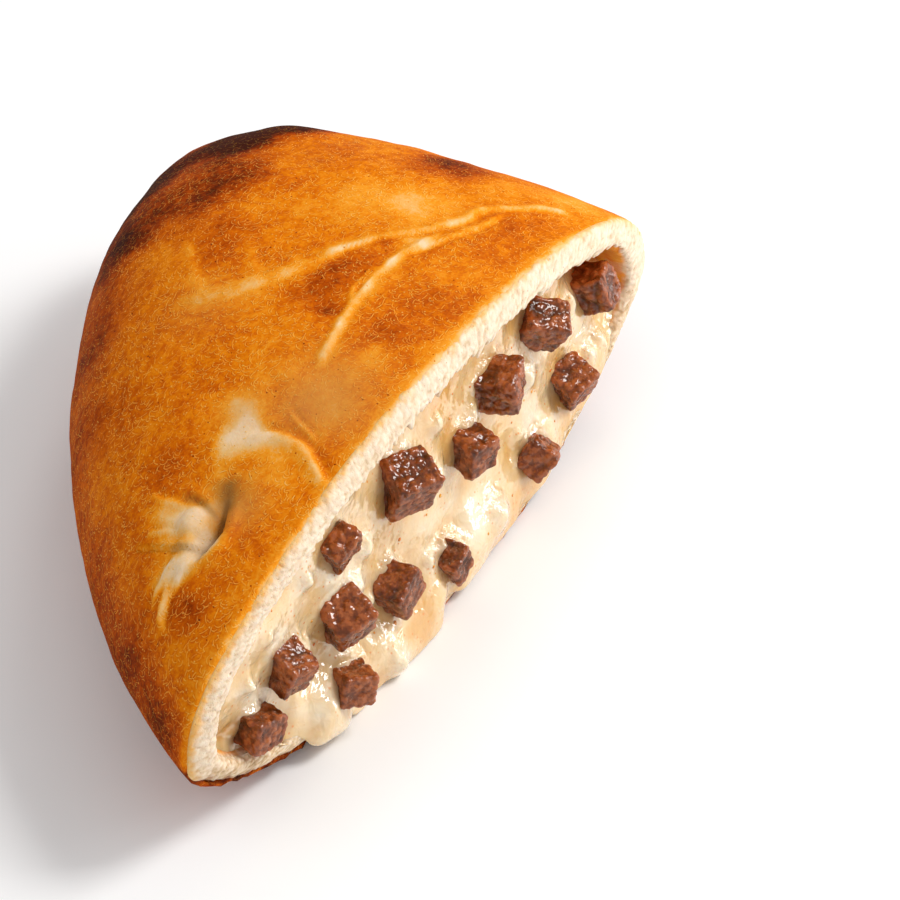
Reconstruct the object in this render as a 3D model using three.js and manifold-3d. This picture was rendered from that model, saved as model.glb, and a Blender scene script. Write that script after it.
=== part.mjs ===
// Half of a baked panzerotto, cut across: a bread crust pocket, the melted cheese that fills it and
// the meat cubes that stand in the cut. Millimetres, +Z up. The cut face looks towards -Y, the sealed
// edge of the dough is its -X end and the fold its +X end, and the crust rests on its flat bottom.
import * as THREE from 'three';
import { mergeVertices } from 'three/addons/utils/BufferGeometryUtils.js';
import Module from 'manifold-3d';

// ---- Driving sizes -------------------------------------------------------------------------------

const HALF_CUT = 80; // half the length of the cut, from the sealed edge to the fold
const HEIGHT = 55;
const SEAM_HEIGHT = 22; // where the upper and lower dough meet, at the cut
const RIDGE_X = -9; // the highest line of the crust, at the cut
const TIP_X = 45; // the closed corner, at the back
const TIP_HEIGHT = 20;
const BASE_SINK = 3; // how much of the round bottom is pressed flat by the tray
const BOW_LOW = 5; // how far the cut face bows out at its foot
const BOW_HIGH = 0.8; // and at its top
const LIP_BULGE = 0.6; // the crumb swells this much between its two edges

// Each shell reaches from the ridge to its seam and fold ends, from its floor to its top, and back
// to its depth. bevel moves its front edge out of the cut, most at the top.
const OUTSIDE = { seam: 80, fold: 80, top: HEIGHT, floor: 0, depth: 90, bevel: 0 };
const INSIDE = { seam: 72, fold: 71.5, top: 49.5, floor: 4.5, depth: 80, bevel: 1.2 };
const GAP = 0.5; // between the cheese and the crumb
const CUBE_GAP = 0.3; // between a cube and the cheese it sits in
const CHEESE = {
  seam: INSIDE.seam - GAP,
  fold: INSIDE.fold - GAP,
  top: INSIDE.top - GAP,
  floor: INSIDE.floor + GAP,
  depth: INSIDE.depth - GAP,
  bevel: INSIDE.bevel,
};

// The four quarters of the cut's outline follow |x|^flat + |z|^steep = 1.
const SEAM_TOP = { flat: 1.5, steep: 2.6 };
const SEAM_LOW = { flat: 1.75, steep: 1.9 };
const FOLD_TOP = { flat: 2.4, steep: 2.1 };
const FOLD_LOW = { flat: 1.7, steep: 1.65 };

// How the pocket closes with depth: size = (1 - depth^late)^(1/round).
const SEAM_CLOSING = { late: 1.25, round: 1.7 };
const FOLD_CLOSING = { late: 3.2, round: 2.3 };
const TOP_CLOSING = { late: 2.8, round: 2.6 };
const BASE_CLOSING = { late: 4, round: 2 };

// The pinched pit in the top crust.
const PIT = { x: -48, y: 16, radius: 7, depth: 3 };

// Cheese front: how far it stays behind the lip, and behind the cut in its middle.
const RECESS_TOP = 3.2;
const RECESS_LOW = 0.6;
const FACE_BEHIND = 0.8;
const CORNER_HOLLOW = { x: 60, z: 44, radius: 11, depth: 8 }; // bare corner beside the fold

// Cheese that ran over the lower lip: the places along the cut, and how much of the lip each covers.
const SPILLS = [
  { x: -41, width: 10, cover: 0.85 },
  { x: -13, width: 8, cover: 0.6 },
];
const SPILL_THICKNESS = 3.6;
// The way of the spill from the pocket over the lip and back up to the face: the share of the plain
// front it leaves, the share of the covered lip it is at, and the share of its thickness.
const SPILL_PATH = [
  { plain: 0.99, out: 0, thick: 0 },
  { plain: 0.97, out: 1, thick: 0.06 },
  { plain: 0.94, out: 1, thick: 0.7 },
  { plain: 0.88, out: 0.4, thick: 1 },
  { plain: 0.8, out: -0.35, thick: 0.85 },
];

// Meat cubes: place along and up the cut, how far the middle stands behind the face, the three
// edges, and the turn about X, Y and Z in degrees.
const CUBES = [
  { x: 61, z: 28.5, behind: 2.0, edges: [7.5, 7.0, 8.0], turn: [-20, -10, 15] },
  { x: 38.5, z: 36, behind: 1.5, edges: [7.0, 9.0, 9.0], turn: [30, -5, 40] },
  { x: 21.5, z: 35, behind: 1.0, edges: [9.0, 7.5, 8.5], turn: [-10, -30, 30] },
  { x: 46.5, z: 17, behind: 0.0, edges: [7.5, 7.5, 8.5], turn: [20, -20, -5] },
  { x: 30.5, z: 11.5, behind: -0.8, edges: [8.0, 6.5, 6.5], turn: [30, 35, 10] },
  { x: 9.5, z: 28.5, behind: 0.0, edges: [7.0, 7.5, 7.5], turn: [5, 0, -15] },
  { x: -11, z: 35.5, behind: 1.0, edges: [9.5, 8.5, 10.0], turn: [20, -5, -25] },
  { x: -31.5, z: 36, behind: 1.5, edges: [7.0, 5.0, 8.5], turn: [20, -25, 0] },
  { x: -18, z: 16.5, behind: 0.0, edges: [8.0, 7.0, 9.0], turn: [5, -25, 5] },
  { x: -1, z: 10, behind: 0.0, edges: [6.0, 7.0, 8.0], turn: [5, -25, 5] },
  { x: -34, z: 22, behind: 0.0, edges: [8.5, 8.0, 9.0], turn: [20, -20, -15] },
  { x: -50.5, z: 23, behind: 0.5, edges: [7.0, 7.5, 7.5], turn: [20, 5, -15] },
  { x: -36, z: 9, behind: -2.2, edges: [7.5, 7.5, 6.5], turn: [0, 15, -30] },
  { x: -60, z: 16.5, behind: 0.5, edges: [7.5, 7.0, 6.5], turn: [0, 15, -10] },
];
const CUBE_ROUNDING = 1.6;
const CUBE_CUTS = 3; // facets along a cube's edge
const CUBE_LUMPS = 0.35;

// Facets.
const COLUMNS = 64; // round the outline
const OUTSIDE_ROWS = [1, 0.98, 0.94, 0.87, 0.78, 0.67, 0.55, 0.43, 0.33, 0.25, 0.18, 0.1, 0];
const LIP_ROWS = [0.5];
const INSIDE_ROWS = [0, 0.16, 0.34, 0.52, 0.68, 0.82, 0.93, 1];
const FRONT_ROWS = [0.6, 0.35];

const CRUST_FINISH = { color: 0xd08a3c, roughness: 0.5, metalness: 0 };
const CHEESE_FINISH = { color: 0xf1dcae, roughness: 0.25, metalness: 0 };
const MEAT_FINISH = { color: 0x6b3b26, roughness: 0.4, metalness: 0 };

// ---- Shape of the pocket -------------------------------------------------------------------------

const mix = (a, b, t) => a + (b - a) * t;
const closing = (depth, { late, round }) => Math.max(1 - depth ** late, 0) ** (1 / round);
const bell = (distance, width) => Math.exp(-((distance / width) ** 2));

// How far the cut face stands out of the plane y = 0, at a place on the cut.
function cutBow(x, z) {
  const height = THREE.MathUtils.clamp(z / HEIGHT, 0, 1);
  const middle = THREE.MathUtils.clamp(1 - (x / HALF_CUT) ** 2, 0, 1);
  return -mix(BOW_LOW, BOW_HIGH, height) * middle;
}

// A point on a shell: angle goes round the cut's outline from the fold over the top, and depth goes
// from 0 at the cut to 1 at the closed corner.
function shellPoint(shell, angle, depth) {
  const across = Math.cos(angle);
  const up = Math.sin(angle);
  const top = up >= 0;
  const quarter = across >= 0 ? (top ? FOLD_TOP : FOLD_LOW) : (top ? SEAM_TOP : SEAM_LOW);
  const run = Math.abs(across) ** (2 / quarter.flat);
  const rise = Math.abs(up) ** (2 / quarter.steep);
  const cutX = across >= 0
    ? mix(RIDGE_X, shell.fold, run)
    : mix(RIDGE_X, -shell.seam, run);
  const share = (cutX + shell.seam) / (shell.seam + shell.fold);
  const seamSide = mix(TIP_X, -shell.seam, closing(depth, SEAM_CLOSING));
  const foldSide = mix(TIP_X, shell.fold, closing(depth, FOLD_CLOSING));
  const seam = mix(SEAM_HEIGHT, TIP_HEIGHT, depth ** 2);
  const crown = (shell.top - SEAM_HEIGHT) * rise * closing(depth, TOP_CLOSING);
  const belly = (seam - shell.floor + BASE_SINK) * rise * closing(depth, BASE_CLOSING);
  const z = top ? seam + crown : Math.max(seam - belly, shell.floor);
  const front = cutBow(cutX, z) - shell.bevel * (z / HEIGHT);
  return new THREE.Vector3(
    mix(seamSide, foldSide, share),
    shell.depth * depth + front * (1 - depth),
    z,
  );
}

// The outside of the crust, with the pit pressed into the top dough.
function crustPoint(angle, depth) {
  const point = shellPoint(OUTSIDE, angle, depth);
  if (Math.sin(angle) > 0) {
    const away = Math.hypot(point.x - PIT.x, point.y - PIT.y);
    point.z -= PIT.depth * bell(away, PIT.radius);
  }
  return point;
}

// ---- Mesh helpers --------------------------------------------------------------------------------

// A closed surface: rings of points between a first and a last single point.
function ringSolid(first, rings, last) {
  const count = rings[0].length;
  const points = [first, ...rings.flat(), last];
  const end = points.length - 1;
  const at = (ring, column) => 1 + ring * count + (column % count);
  const faces = [];
  for (let column = 0; column < count; column += 1) {
    faces.push(0, at(0, column + 1), at(0, column));
    for (let ring = 0; ring + 1 < rings.length; ring += 1) {
      const a = at(ring, column);
      const b = at(ring, column + 1);
      const c = at(ring + 1, column + 1);
      const d = at(ring + 1, column);
      faces.push(a, b, c, a, c, d);
    }
    faces.push(end, at(rings.length - 1, column), at(rings.length - 1, column + 1));
  }
  const geometry = new THREE.BufferGeometry().setFromPoints(points);
  geometry.setIndex(faces);
  return geometry;
}

// Calls makePoint(angle) for each column of the outline.
function ring(makePoint) {
  return Array.from({ length: COLUMNS }, (_, column) => makePoint((column / COLUMNS) * 2 * Math.PI));
}

const wasm = await Module();
wasm.setup();

function toSolid(geometry) {
  const bare = geometry.clone();
  bare.deleteAttribute('normal');
  bare.deleteAttribute('uv');
  const merged = mergeVertices(bare, 1e-4);
  const index = merged.getIndex().array;
  const triVerts = [];
  for (let corner = 0; corner < index.length; corner += 3) {
    const [a, b, c] = index.slice(corner, corner + 3);
    if (a !== b && b !== c && c !== a) triVerts.push(a, b, c);
  }
  return new wasm.Manifold(new wasm.Mesh({
    numProp: 3,
    vertProperties: new Float32Array(merged.getAttribute('position').array),
    triVerts: new Uint32Array(triVerts),
  }));
}

function toGeometry(solid) {
  const mesh = solid.getMesh();
  const geometry = new THREE.BufferGeometry();
  geometry.setAttribute('position', new THREE.BufferAttribute(mesh.vertProperties, 3));
  geometry.setIndex(new THREE.BufferAttribute(mesh.triVerts, 1));
  return geometry;
}

// ---- Crust ---------------------------------------------------------------------------------------

// The crumb between the outer and the inner edge of the lip, swollen a little.
function lipPoint(angle, share) {
  const point = crustPoint(angle, 0).lerp(shellPoint(INSIDE, angle, 0), share);
  point.y -= LIP_BULGE * Math.sin(Math.PI * share);
  return point;
}

function crustGeometry() {
  const rings = [
    ...OUTSIDE_ROWS.slice(1).map((depth) => ring((angle) => crustPoint(angle, depth))),
    ...LIP_ROWS.map((share) => ring((angle) => lipPoint(angle, share))),
    ...INSIDE_ROWS.slice(0, -1).map((depth) => ring((angle) => shellPoint(INSIDE, angle, depth))),
  ];
  return ringSolid(crustPoint(0, 1), rings, shellPoint(INSIDE, 0, 1));
}

// ---- Cheese --------------------------------------------------------------------------------------

// How strongly the cheese runs over the lip at a column, from 0 to 1, and how much of it it covers.
function spillAt(angle) {
  if (Math.sin(angle) >= 0) return { strength: 0, cover: 0 };
  const { x } = shellPoint(INSIDE, angle, 0);
  const spills = SPILLS.map((spill) => ({ strength: bell(x - spill.x, spill.width), cover: spill.cover }));
  return spills.reduce((most, spill) => (spill.strength > most.strength ? spill : most));
}

// How far behind the lip the cheese meets the crumb, as a share of the pocket's depth.
function rimDepth(angle) {
  const edge = shellPoint(CHEESE, angle, 0);
  const height = THREE.MathUtils.clamp(edge.z / INSIDE.top, 0, 1);
  const away = Math.hypot(edge.x - CORNER_HOLLOW.x, edge.z - CORNER_HOLLOW.z);
  const hollow = CORNER_HOLLOW.depth * bell(away, CORNER_HOLLOW.radius);
  return (mix(RECESS_LOW, RECESS_TOP, height) + hollow) / CHEESE.depth;
}

// A point of the cheese's plain front. share goes from 1 at the crumb to 0 in the middle of the cut.
function frontPoint(angle, share) {
  const rim = shellPoint(CHEESE, angle, rimDepth(angle));
  const x = mix(RIDGE_X, rim.x, share);
  const z = mix(SEAM_HEIGHT, rim.z, share);
  return new THREE.Vector3(x, mix(cutBow(x, z) + FACE_BEHIND, rim.y, share ** 3), z);
}

// The same point where the cheese runs over the lip, at one step of the spill's path: first it comes
// out of the pocket, and where it is strong it also goes down in front of the lip.
function spillPoint(angle, { plain, out, thick }) {
  const { strength, cover } = spillAt(angle);
  const emerged = THREE.MathUtils.smoothstep(strength, 0.05, 0.3);
  const fallen = THREE.MathUtils.smoothstep(strength, 0.3, 0.8);
  const inner = shellPoint(CHEESE, angle, 0);
  const outer = crustPoint(angle, 0);
  const point = inner.clone().lerp(outer, cover * fallen * out);
  const proud = LIP_BULGE + GAP + SPILL_THICKNESS * thick * mix(0.2, 1, fallen);
  point.y = Math.min(inner.y, outer.y) - proud;
  return frontPoint(angle, plain).lerp(point, emerged);
}

function cheeseGeometry() {
  const sides = INSIDE_ROWS.slice(1, -1).reverse();
  const rings = [
    ...sides.map((depth) => ring((angle) => shellPoint(CHEESE, angle, depth))),
    ring((angle) => shellPoint(CHEESE, angle, rimDepth(angle))),
    ...SPILL_PATH.map((step) => ring((angle) => spillPoint(angle, step))),
    ...FRONT_ROWS.map((share) => ring((angle) => frontPoint(angle, share))),
  ];
  return ringSolid(shellPoint(CHEESE, 0, 1), rings, frontPoint(0, 0));
}

// ---- Meat cubes ----------------------------------------------------------------------------------

// A box with round edges and a lumpy surface. grow makes it larger on every side.
function cubeGeometry([width, depth, height], seed, grow = 0) {
  const geometry = new THREE.BoxGeometry(width, depth, height, CUBE_CUTS, CUBE_CUTS, CUBE_CUTS);
  const position = geometry.getAttribute('position');
  const core = new THREE.Vector3(width, depth, height).multiplyScalar(0.5).subScalar(CUBE_ROUNDING);
  const point = new THREE.Vector3();
  for (let index = 0; index < position.count; index += 1) {
    point.fromBufferAttribute(position, index);
    const inner = point.clone().clamp(core.clone().negate(), core);
    const outward = point.clone().sub(inner).normalize();
    const lump = Math.sin(point.x * 1.1 + seed) + Math.sin(point.y * 1.3 + 2 * seed)
      + Math.sin(point.z * 1.2 + 3 * seed);
    point.copy(inner).addScaledVector(outward, CUBE_ROUNDING + CUBE_LUMPS * (lump / 3) + grow);
    position.setXYZ(index, point.x, point.y, point.z);
  }
  return geometry;
}

function placeCube(object, { x, z, behind, turn }) {
  const [turnX, turnY, turnZ] = turn.map(THREE.MathUtils.degToRad);
  object.position.set(x, cutBow(x, z) + behind, z);
  object.rotation.set(turnX, turnY, turnZ, 'XYZ');
  object.updateMatrix();
}

// ---- Assembly ------------------------------------------------------------------------------------

const panzerotto = new THREE.Group();

function addMesh(name, geometry, finish) {
  const mesh = new THREE.Mesh(geometry, new THREE.MeshStandardMaterial(finish));
  mesh.name = name;
  panzerotto.add(mesh);
  return mesh;
}

addMesh('crust', crustGeometry(), CRUST_FINISH);

let cheese = toSolid(cheeseGeometry());
CUBES.forEach((cube, index) => {
  const name = `meat_cube_${String(index + 1).padStart(2, '0')}`;
  const mesh = addMesh(name, toGeometry(toSolid(cubeGeometry(cube.edges, index))), MEAT_FINISH);
  placeCube(mesh, cube);
  const socket = cubeGeometry(cube.edges, index, CUBE_GAP).applyMatrix4(mesh.matrix);
  cheese = cheese.subtract(toSolid(socket));
});
addMesh('cheese_filling', toGeometry(cheese), CHEESE_FINISH);

// The origin is the middle of the whole part's footprint, on the surface it rests on.
const extent = new THREE.Box3().setFromObject(panzerotto, true);
const middle = extent.getCenter(new THREE.Vector3());
panzerotto.position.set(-middle.x, -middle.y, -extent.min.z);

export default panzerotto;
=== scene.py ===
"""The looks of the cut half of a baked panzerotto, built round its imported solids.

The numpy part works in millimetres on the axes of the CAD source: x along the cut from the sealed
edge at -80 to the fold at +80, y from the cut at 0 into the body, z up from the board. make_piece()
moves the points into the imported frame, in metres.
"""
import math

import bpy
import numpy as np
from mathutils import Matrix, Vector


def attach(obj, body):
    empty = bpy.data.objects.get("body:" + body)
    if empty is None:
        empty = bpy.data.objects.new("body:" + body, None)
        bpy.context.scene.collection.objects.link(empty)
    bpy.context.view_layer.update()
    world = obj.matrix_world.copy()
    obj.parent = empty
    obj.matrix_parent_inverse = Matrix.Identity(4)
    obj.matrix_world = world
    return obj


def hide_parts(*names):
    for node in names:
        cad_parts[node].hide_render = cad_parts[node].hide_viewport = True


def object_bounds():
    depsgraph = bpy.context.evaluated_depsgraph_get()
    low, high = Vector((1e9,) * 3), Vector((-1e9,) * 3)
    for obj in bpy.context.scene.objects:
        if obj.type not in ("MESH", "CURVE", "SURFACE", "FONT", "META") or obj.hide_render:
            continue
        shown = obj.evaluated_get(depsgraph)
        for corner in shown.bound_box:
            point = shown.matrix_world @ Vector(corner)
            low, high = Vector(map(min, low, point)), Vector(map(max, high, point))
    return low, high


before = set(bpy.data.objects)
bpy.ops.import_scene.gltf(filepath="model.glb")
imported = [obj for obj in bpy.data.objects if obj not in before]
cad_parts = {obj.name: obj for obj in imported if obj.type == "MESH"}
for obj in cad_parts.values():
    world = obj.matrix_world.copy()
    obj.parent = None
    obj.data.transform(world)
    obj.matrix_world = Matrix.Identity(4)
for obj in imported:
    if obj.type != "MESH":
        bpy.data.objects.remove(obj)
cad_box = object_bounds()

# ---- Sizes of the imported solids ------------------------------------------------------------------

HALF_CUT = 80.0
HEIGHT = 55.0
SEAM_HEIGHT = 22.0
RIDGE_X = -9.0
TIP_X = 45.0
TIP_HEIGHT = 20.0
BASE_SINK = 3.0
BOW_LOW = 5.0
BOW_HIGH = 0.8
LIP_BULGE = 0.6

OUTSIDE = dict(seam=80.0, fold=80.0, top=HEIGHT, floor=0.0, depth=90.0, bevel=0.0)
INSIDE = dict(seam=72.0, fold=71.5, top=49.5, floor=4.5, depth=80.0, bevel=1.2)
BEHIND_CRUMB = dict(seam=73.0, fold=72.5, top=50.5, floor=3.6, depth=81.0, bevel=0.4)

# Each quarter of the outline follows |x|^flat + |z|^steep = 1.
SEAM_TOP, SEAM_LOW = (1.5, 2.6), (1.75, 1.9)
FOLD_TOP, FOLD_LOW = (2.4, 2.1), (1.7, 1.65)

# Where the dough of the upper lip is thinner: x, z and radius on the cut, how far that reaches into
# the pocket, and by how much of its thickness.
THIN_PLACE = (63, 43, 9)
THIN_REACH = 12
THINNER = 0.3

# How the pocket closes with depth: size = (1 - depth^late)^(1/round).
SEAM_CLOSING, FOLD_CLOSING = (1.25, 1.7), (3.2, 2.3)
TOP_CLOSING, BASE_CLOSING = (2.8, 2.6), (4.0, 2.0)

# Meat cubes: x and z on the cut, how far the middle stands behind the face, edges, turn in degrees.
CUBES = [
    (61.0, 28.5, 2.0, (7.5, 7.0, 8.0), (-20, -10, 15)),
    (38.5, 36.0, 1.5, (7.0, 9.0, 9.0), (30, -5, 40)),
    (21.5, 34.5, 1.0, (8.5, 8.8, 8.2), (0, -10, 20)),
    (46.5, 17.0, 0.0, (7.5, 7.5, 8.5), (20, -20, -5)),
    (30.5, 11.5, -0.8, (8.0, 6.5, 6.5), (30, 35, 10)),
    (9.5, 28.5, 0.0, (7.0, 7.5, 7.5), (5, 0, -15)),
    (-11.0, 35.5, 1.0, (9.5, 8.5, 10.0), (20, -5, -25)),
    (-31.5, 36.0, 1.5, (7.0, 5.0, 8.5), (20, -25, 0)),
    (-18.0, 16.5, 0.0, (8.0, 7.0, 9.0), (5, -25, 5)),
    (-1.0, 10.0, 0.0, (6.0, 7.0, 8.0), (5, -25, 5)),
    (-34.0, 22.0, 0.0, (8.5, 8.0, 9.0), (20, -20, -15)),
    (-50.5, 23.0, 0.5, (7.0, 7.5, 7.5), (20, 5, -15)),
    (-36.8, 9.6, -2.2, (7.0, 7.0, 6.2), (0, 15, -30)),
    (-60.0, 16.5, 0.5, (7.5, 7.0, 6.5), (0, 15, -10)),
]

# The way out of the cut.
AHEAD = np.array([0.0, -1.0, 0.0])

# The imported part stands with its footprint's middle over the origin. On the axes used here its fold
# ends at half the cut's length, and its tip at its depth.
ORIGIN = np.array([HALF_CUT - cad_box[1].x * 1000, OUTSIDE["depth"] - cad_box[1].y * 1000, 0.0])

# ---- Numpy tools ---------------------------------------------------------------------------------


def mix(a, b, t):
    return a + (b - a) * t


def ramp(value, low, high):
    """0 below low, 1 above high, and 3t^2 - 2t^3 between them."""
    t = np.clip((value - low) / (high - low), 0, 1)
    return t * t * (3 - 2 * t)


def bell(distance, width):
    """exp(-(distance / width)^2)."""
    return np.exp(-((distance / width) ** 2))


def near_place(points, place, radius):
    """The bell of the distance from a place."""
    return bell(np.linalg.norm(points - place, axis=-1), radius)


def near_on_cut(points, x, z, radius):
    """The bell of the distance from a place on the cut, seen from the front."""
    return bell(np.hypot(points[..., 0] - x, points[..., 2] - z), radius)


def fading_ends(along, first, last):
    """1 along a line, and down to 0 over these shares of its length at its two ends."""
    return ramp(along, 0, first) * ramp(1 - along, 0, last)


def unit(vectors):
    """Each vector divided by its length."""
    return vectors / np.maximum(np.linalg.norm(vectors, axis=-1, keepdims=True), 1e-9)


def lattice(cell, seed):
    """A fixed random number from -1 to 1 for each cell of a cubic lattice, by mixing its bits."""
    key = cell[..., 0] * 374761393 + cell[..., 1] * 668265263 + cell[..., 2] * 1274126177
    key = (key + seed * 974711) & 0xFFFFFFFF
    key = ((key ^ (key >> 13)) * 1103515245) & 0xFFFFFFFF
    key = ((key ^ (key >> 15)) * 747796405) & 0xFFFFFFFF
    return ((key >> 9) & 0xFFFF) / 32767.5 - 1


def lumps(points, size, seed):
    """Smooth noise from -1 to 1: the lattice numbers at the corners of the cell of that size that
    holds the point, blended by 6t^5 - 15t^4 + 10t^3 along each axis."""
    scaled = points / size + 0.37 * seed
    cell = np.floor(scaled).astype(np.int64)
    t = scaled - cell
    t = t * t * t * (t * (t * 6 - 15) + 10)
    total = np.zeros(points.shape[:-1])
    for corner in np.ndindex(2, 2, 2):
        side = np.array(corner)
        weight = np.prod(np.where(side, t, 1 - t), axis=-1)
        total += weight * lattice(cell + side, seed)
    return total


def jitter(points, size, seed):
    """Smooth noise for each of the three axes, with three seeds in a row."""
    return np.stack([lumps(points, size, seed + k) for k in range(3)], -1)


def nearest_grain(points, size, seed):
    """Distance to the nearest of the grains scattered one to a cell of that size, in cells."""
    scaled = points / size
    cell = np.floor(scaled).astype(np.int64)
    best = np.full(points.shape[:-1], 9.0)
    for step in np.ndindex(3, 3, 3):
        near = cell + np.array(step) - 1
        grain = near + 0.5 + 0.42 * np.stack([lattice(near, seed + k) for k in range(3)], -1)
        best = np.minimum(best, np.linalg.norm(scaled - grain, axis=-1))
    return best


def path_place(points, path):
    """The nearest place on a path of straight steps, in plan: (signed distance, share of its length),
    positive on its left. Height counts in the size of the distance."""
    path = np.array(path, float)
    steps = np.diff(path, axis=0)
    lengths = np.linalg.norm(steps, axis=1)
    starts = np.concatenate([[0], np.cumsum(lengths)])
    best = np.full(points.shape[:-1], 1e9)
    signed = np.zeros_like(best)
    along = np.zeros_like(best)
    for start, step, length, before in zip(path, steps, lengths, starts):
        offset = points - start
        t = np.clip(offset @ step / length**2, 0, 1)
        away = np.linalg.norm(offset - t[..., None] * step, axis=-1)
        side = np.sign(step[0] * offset[..., 1] - step[1] * offset[..., 0])
        nearer = away < best
        best = np.where(nearer, away, best)
        signed = np.where(nearer, away * side, signed)
        along = np.where(nearer, (before + t * length) / starts[-1], along)
    return signed, along


def smooth_path(keys, places):
    """A Catmull-Rom curve through keys (keys x columns x 3) at the given places, where place 1.5 is
    halfway from key 1 to key 2."""
    places = np.clip(places, 0, len(keys) - 1 - 1e-9)
    first = np.floor(places).astype(int)
    t = (places - first)[:, None, None]
    a, b, c, d = (keys[np.clip(first + k, 0, len(keys) - 1)] for k in (-1, 0, 1, 2))
    return 0.5 * (2 * b + (c - a) * t + (2 * a - 5 * b + 4 * c - d) * t**2
                  + (3 * b - a - 3 * c + d) * t**3)


def grid_normals(points, wrap_rows=False, wrap_columns=False):
    """Unit normals of a grid of points: the cross product of its steps along columns and rows."""
    def step(axis, wrap):
        if wrap:
            return np.roll(points, -1, axis) - np.roll(points, 1, axis)
        return np.gradient(points, axis=axis)
    return unit(np.cross(step(1, wrap_columns), step(0, wrap_rows)))


def blur(values, passes, axis, wrap):
    """Averages each value with its two neighbours along an axis, 1-2-1, again and again. Without
    wrap the first and last stay as they are."""
    for _ in range(passes):
        smooth = (np.roll(values, 1, axis) + 2 * values + np.roll(values, -1, axis)) / 4
        if not wrap:
            inside = np.moveaxis(smooth, axis, 0)
            inside[[0, -1]] = np.moveaxis(values, axis, 0)[[0, -1]]
        values = smooth
    return values


def grid_quads(rows, columns, wrap_rows, wrap_columns):
    """Corner numbers of the quads of a grid, with its last row or column joined to the first."""
    ids = np.arange(rows * columns).reshape(rows, columns)
    if wrap_rows:
        ids = np.vstack([ids, ids[:1]])
    if wrap_columns:
        ids = np.hstack([ids, ids[:, :1]])
    corners = (ids[:-1, :-1], ids[:-1, 1:], ids[1:, 1:], ids[1:, :-1])
    return np.stack([c.ravel() for c in corners], -1)


def weld(points, quads):
    """Joins points at the same place and drops faces that this closes up. Returns the points, which
    point each came from, the quads and the triangles."""
    _, kept, renumber = np.unique(np.round(points, 4), axis=0, return_index=True, return_inverse=True)
    quads = renumber.ravel()[quads]
    same = quads == np.roll(quads, -1, axis=1)
    whole = quads[same.sum(1) == 0]
    whole = whole[(whole[:, 0] != whole[:, 2]) & (whole[:, 1] != whole[:, 3])]
    triangles = []
    for corner in range(4):
        narrowed = quads[(same.sum(1) == 1) & same[:, corner]]
        triangles.append(np.delete(narrowed, corner, axis=1))
    return points[kept], kept, whole, np.concatenate(triangles)


def outward(points, quads, triangles):
    """Turns all faces over if the closed surface's volume comes out negative."""
    split = np.concatenate([quads[:, [0, 1, 2]], quads[:, [0, 2, 3]], triangles])
    a, b, c = (points[split[:, k]] for k in range(3))
    if np.einsum("ij,ij->", a, np.cross(b, c)) < 0:
        return quads[:, ::-1], triangles[:, ::-1]
    return quads, triangles


def make_piece(name, grids, material, replaces=(), wrap=(False, False)):
    """A closed smooth mesh from grids of points, each given as (points, {attribute: values})."""
    quads, count = [], 0
    for points, _ in grids:
        quads.append(grid_quads(*points.shape[:2], *wrap) + count)
        count += points.shape[0] * points.shape[1]
    points = np.concatenate([p.reshape(-1, 3) for p, _ in grids])
    points, kept, quads, triangles = weld(points, np.concatenate(quads))
    quads, triangles = outward(points, quads, triangles)
    mesh = bpy.data.meshes.new(name)
    mesh.from_pydata(((points - ORIGIN) / 1000).tolist(), [], quads.tolist() + triangles.tolist())
    mesh.polygons.foreach_set("use_smooth", np.ones(len(mesh.polygons), bool))
    for label in grids[0][1]:
        values = np.concatenate([np.ravel(given[label]) for _, given in grids])[kept]
        attribute = mesh.attributes.new(label, "FLOAT", "POINT")
        attribute.data.foreach_set("value", values.astype(np.float32))
    mesh.materials.append(material)
    mesh.update()
    piece = bpy.data.objects.new(name, mesh)
    bpy.context.scene.collection.objects.link(piece)
    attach(piece, "root")
    if replaces:
        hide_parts(*replaces)
    return piece


# ---- Shape of the pocket -------------------------------------------------------------------------


def closing(depth, how):
    """(1 - depth^late)^(1/round)."""
    late, rounded = how
    return np.maximum(1 - depth**late, 0) ** (1 / rounded)


def cut_bow(x, z):
    """How far the cut stands out of y = 0: most at its foot and in the middle of its length."""
    height = np.clip(z / HEIGHT, 0, 1)
    return -mix(BOW_LOW, BOW_HIGH, height) * np.clip(1 - (x / HALF_CUT) ** 2, 0, 1)


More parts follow.
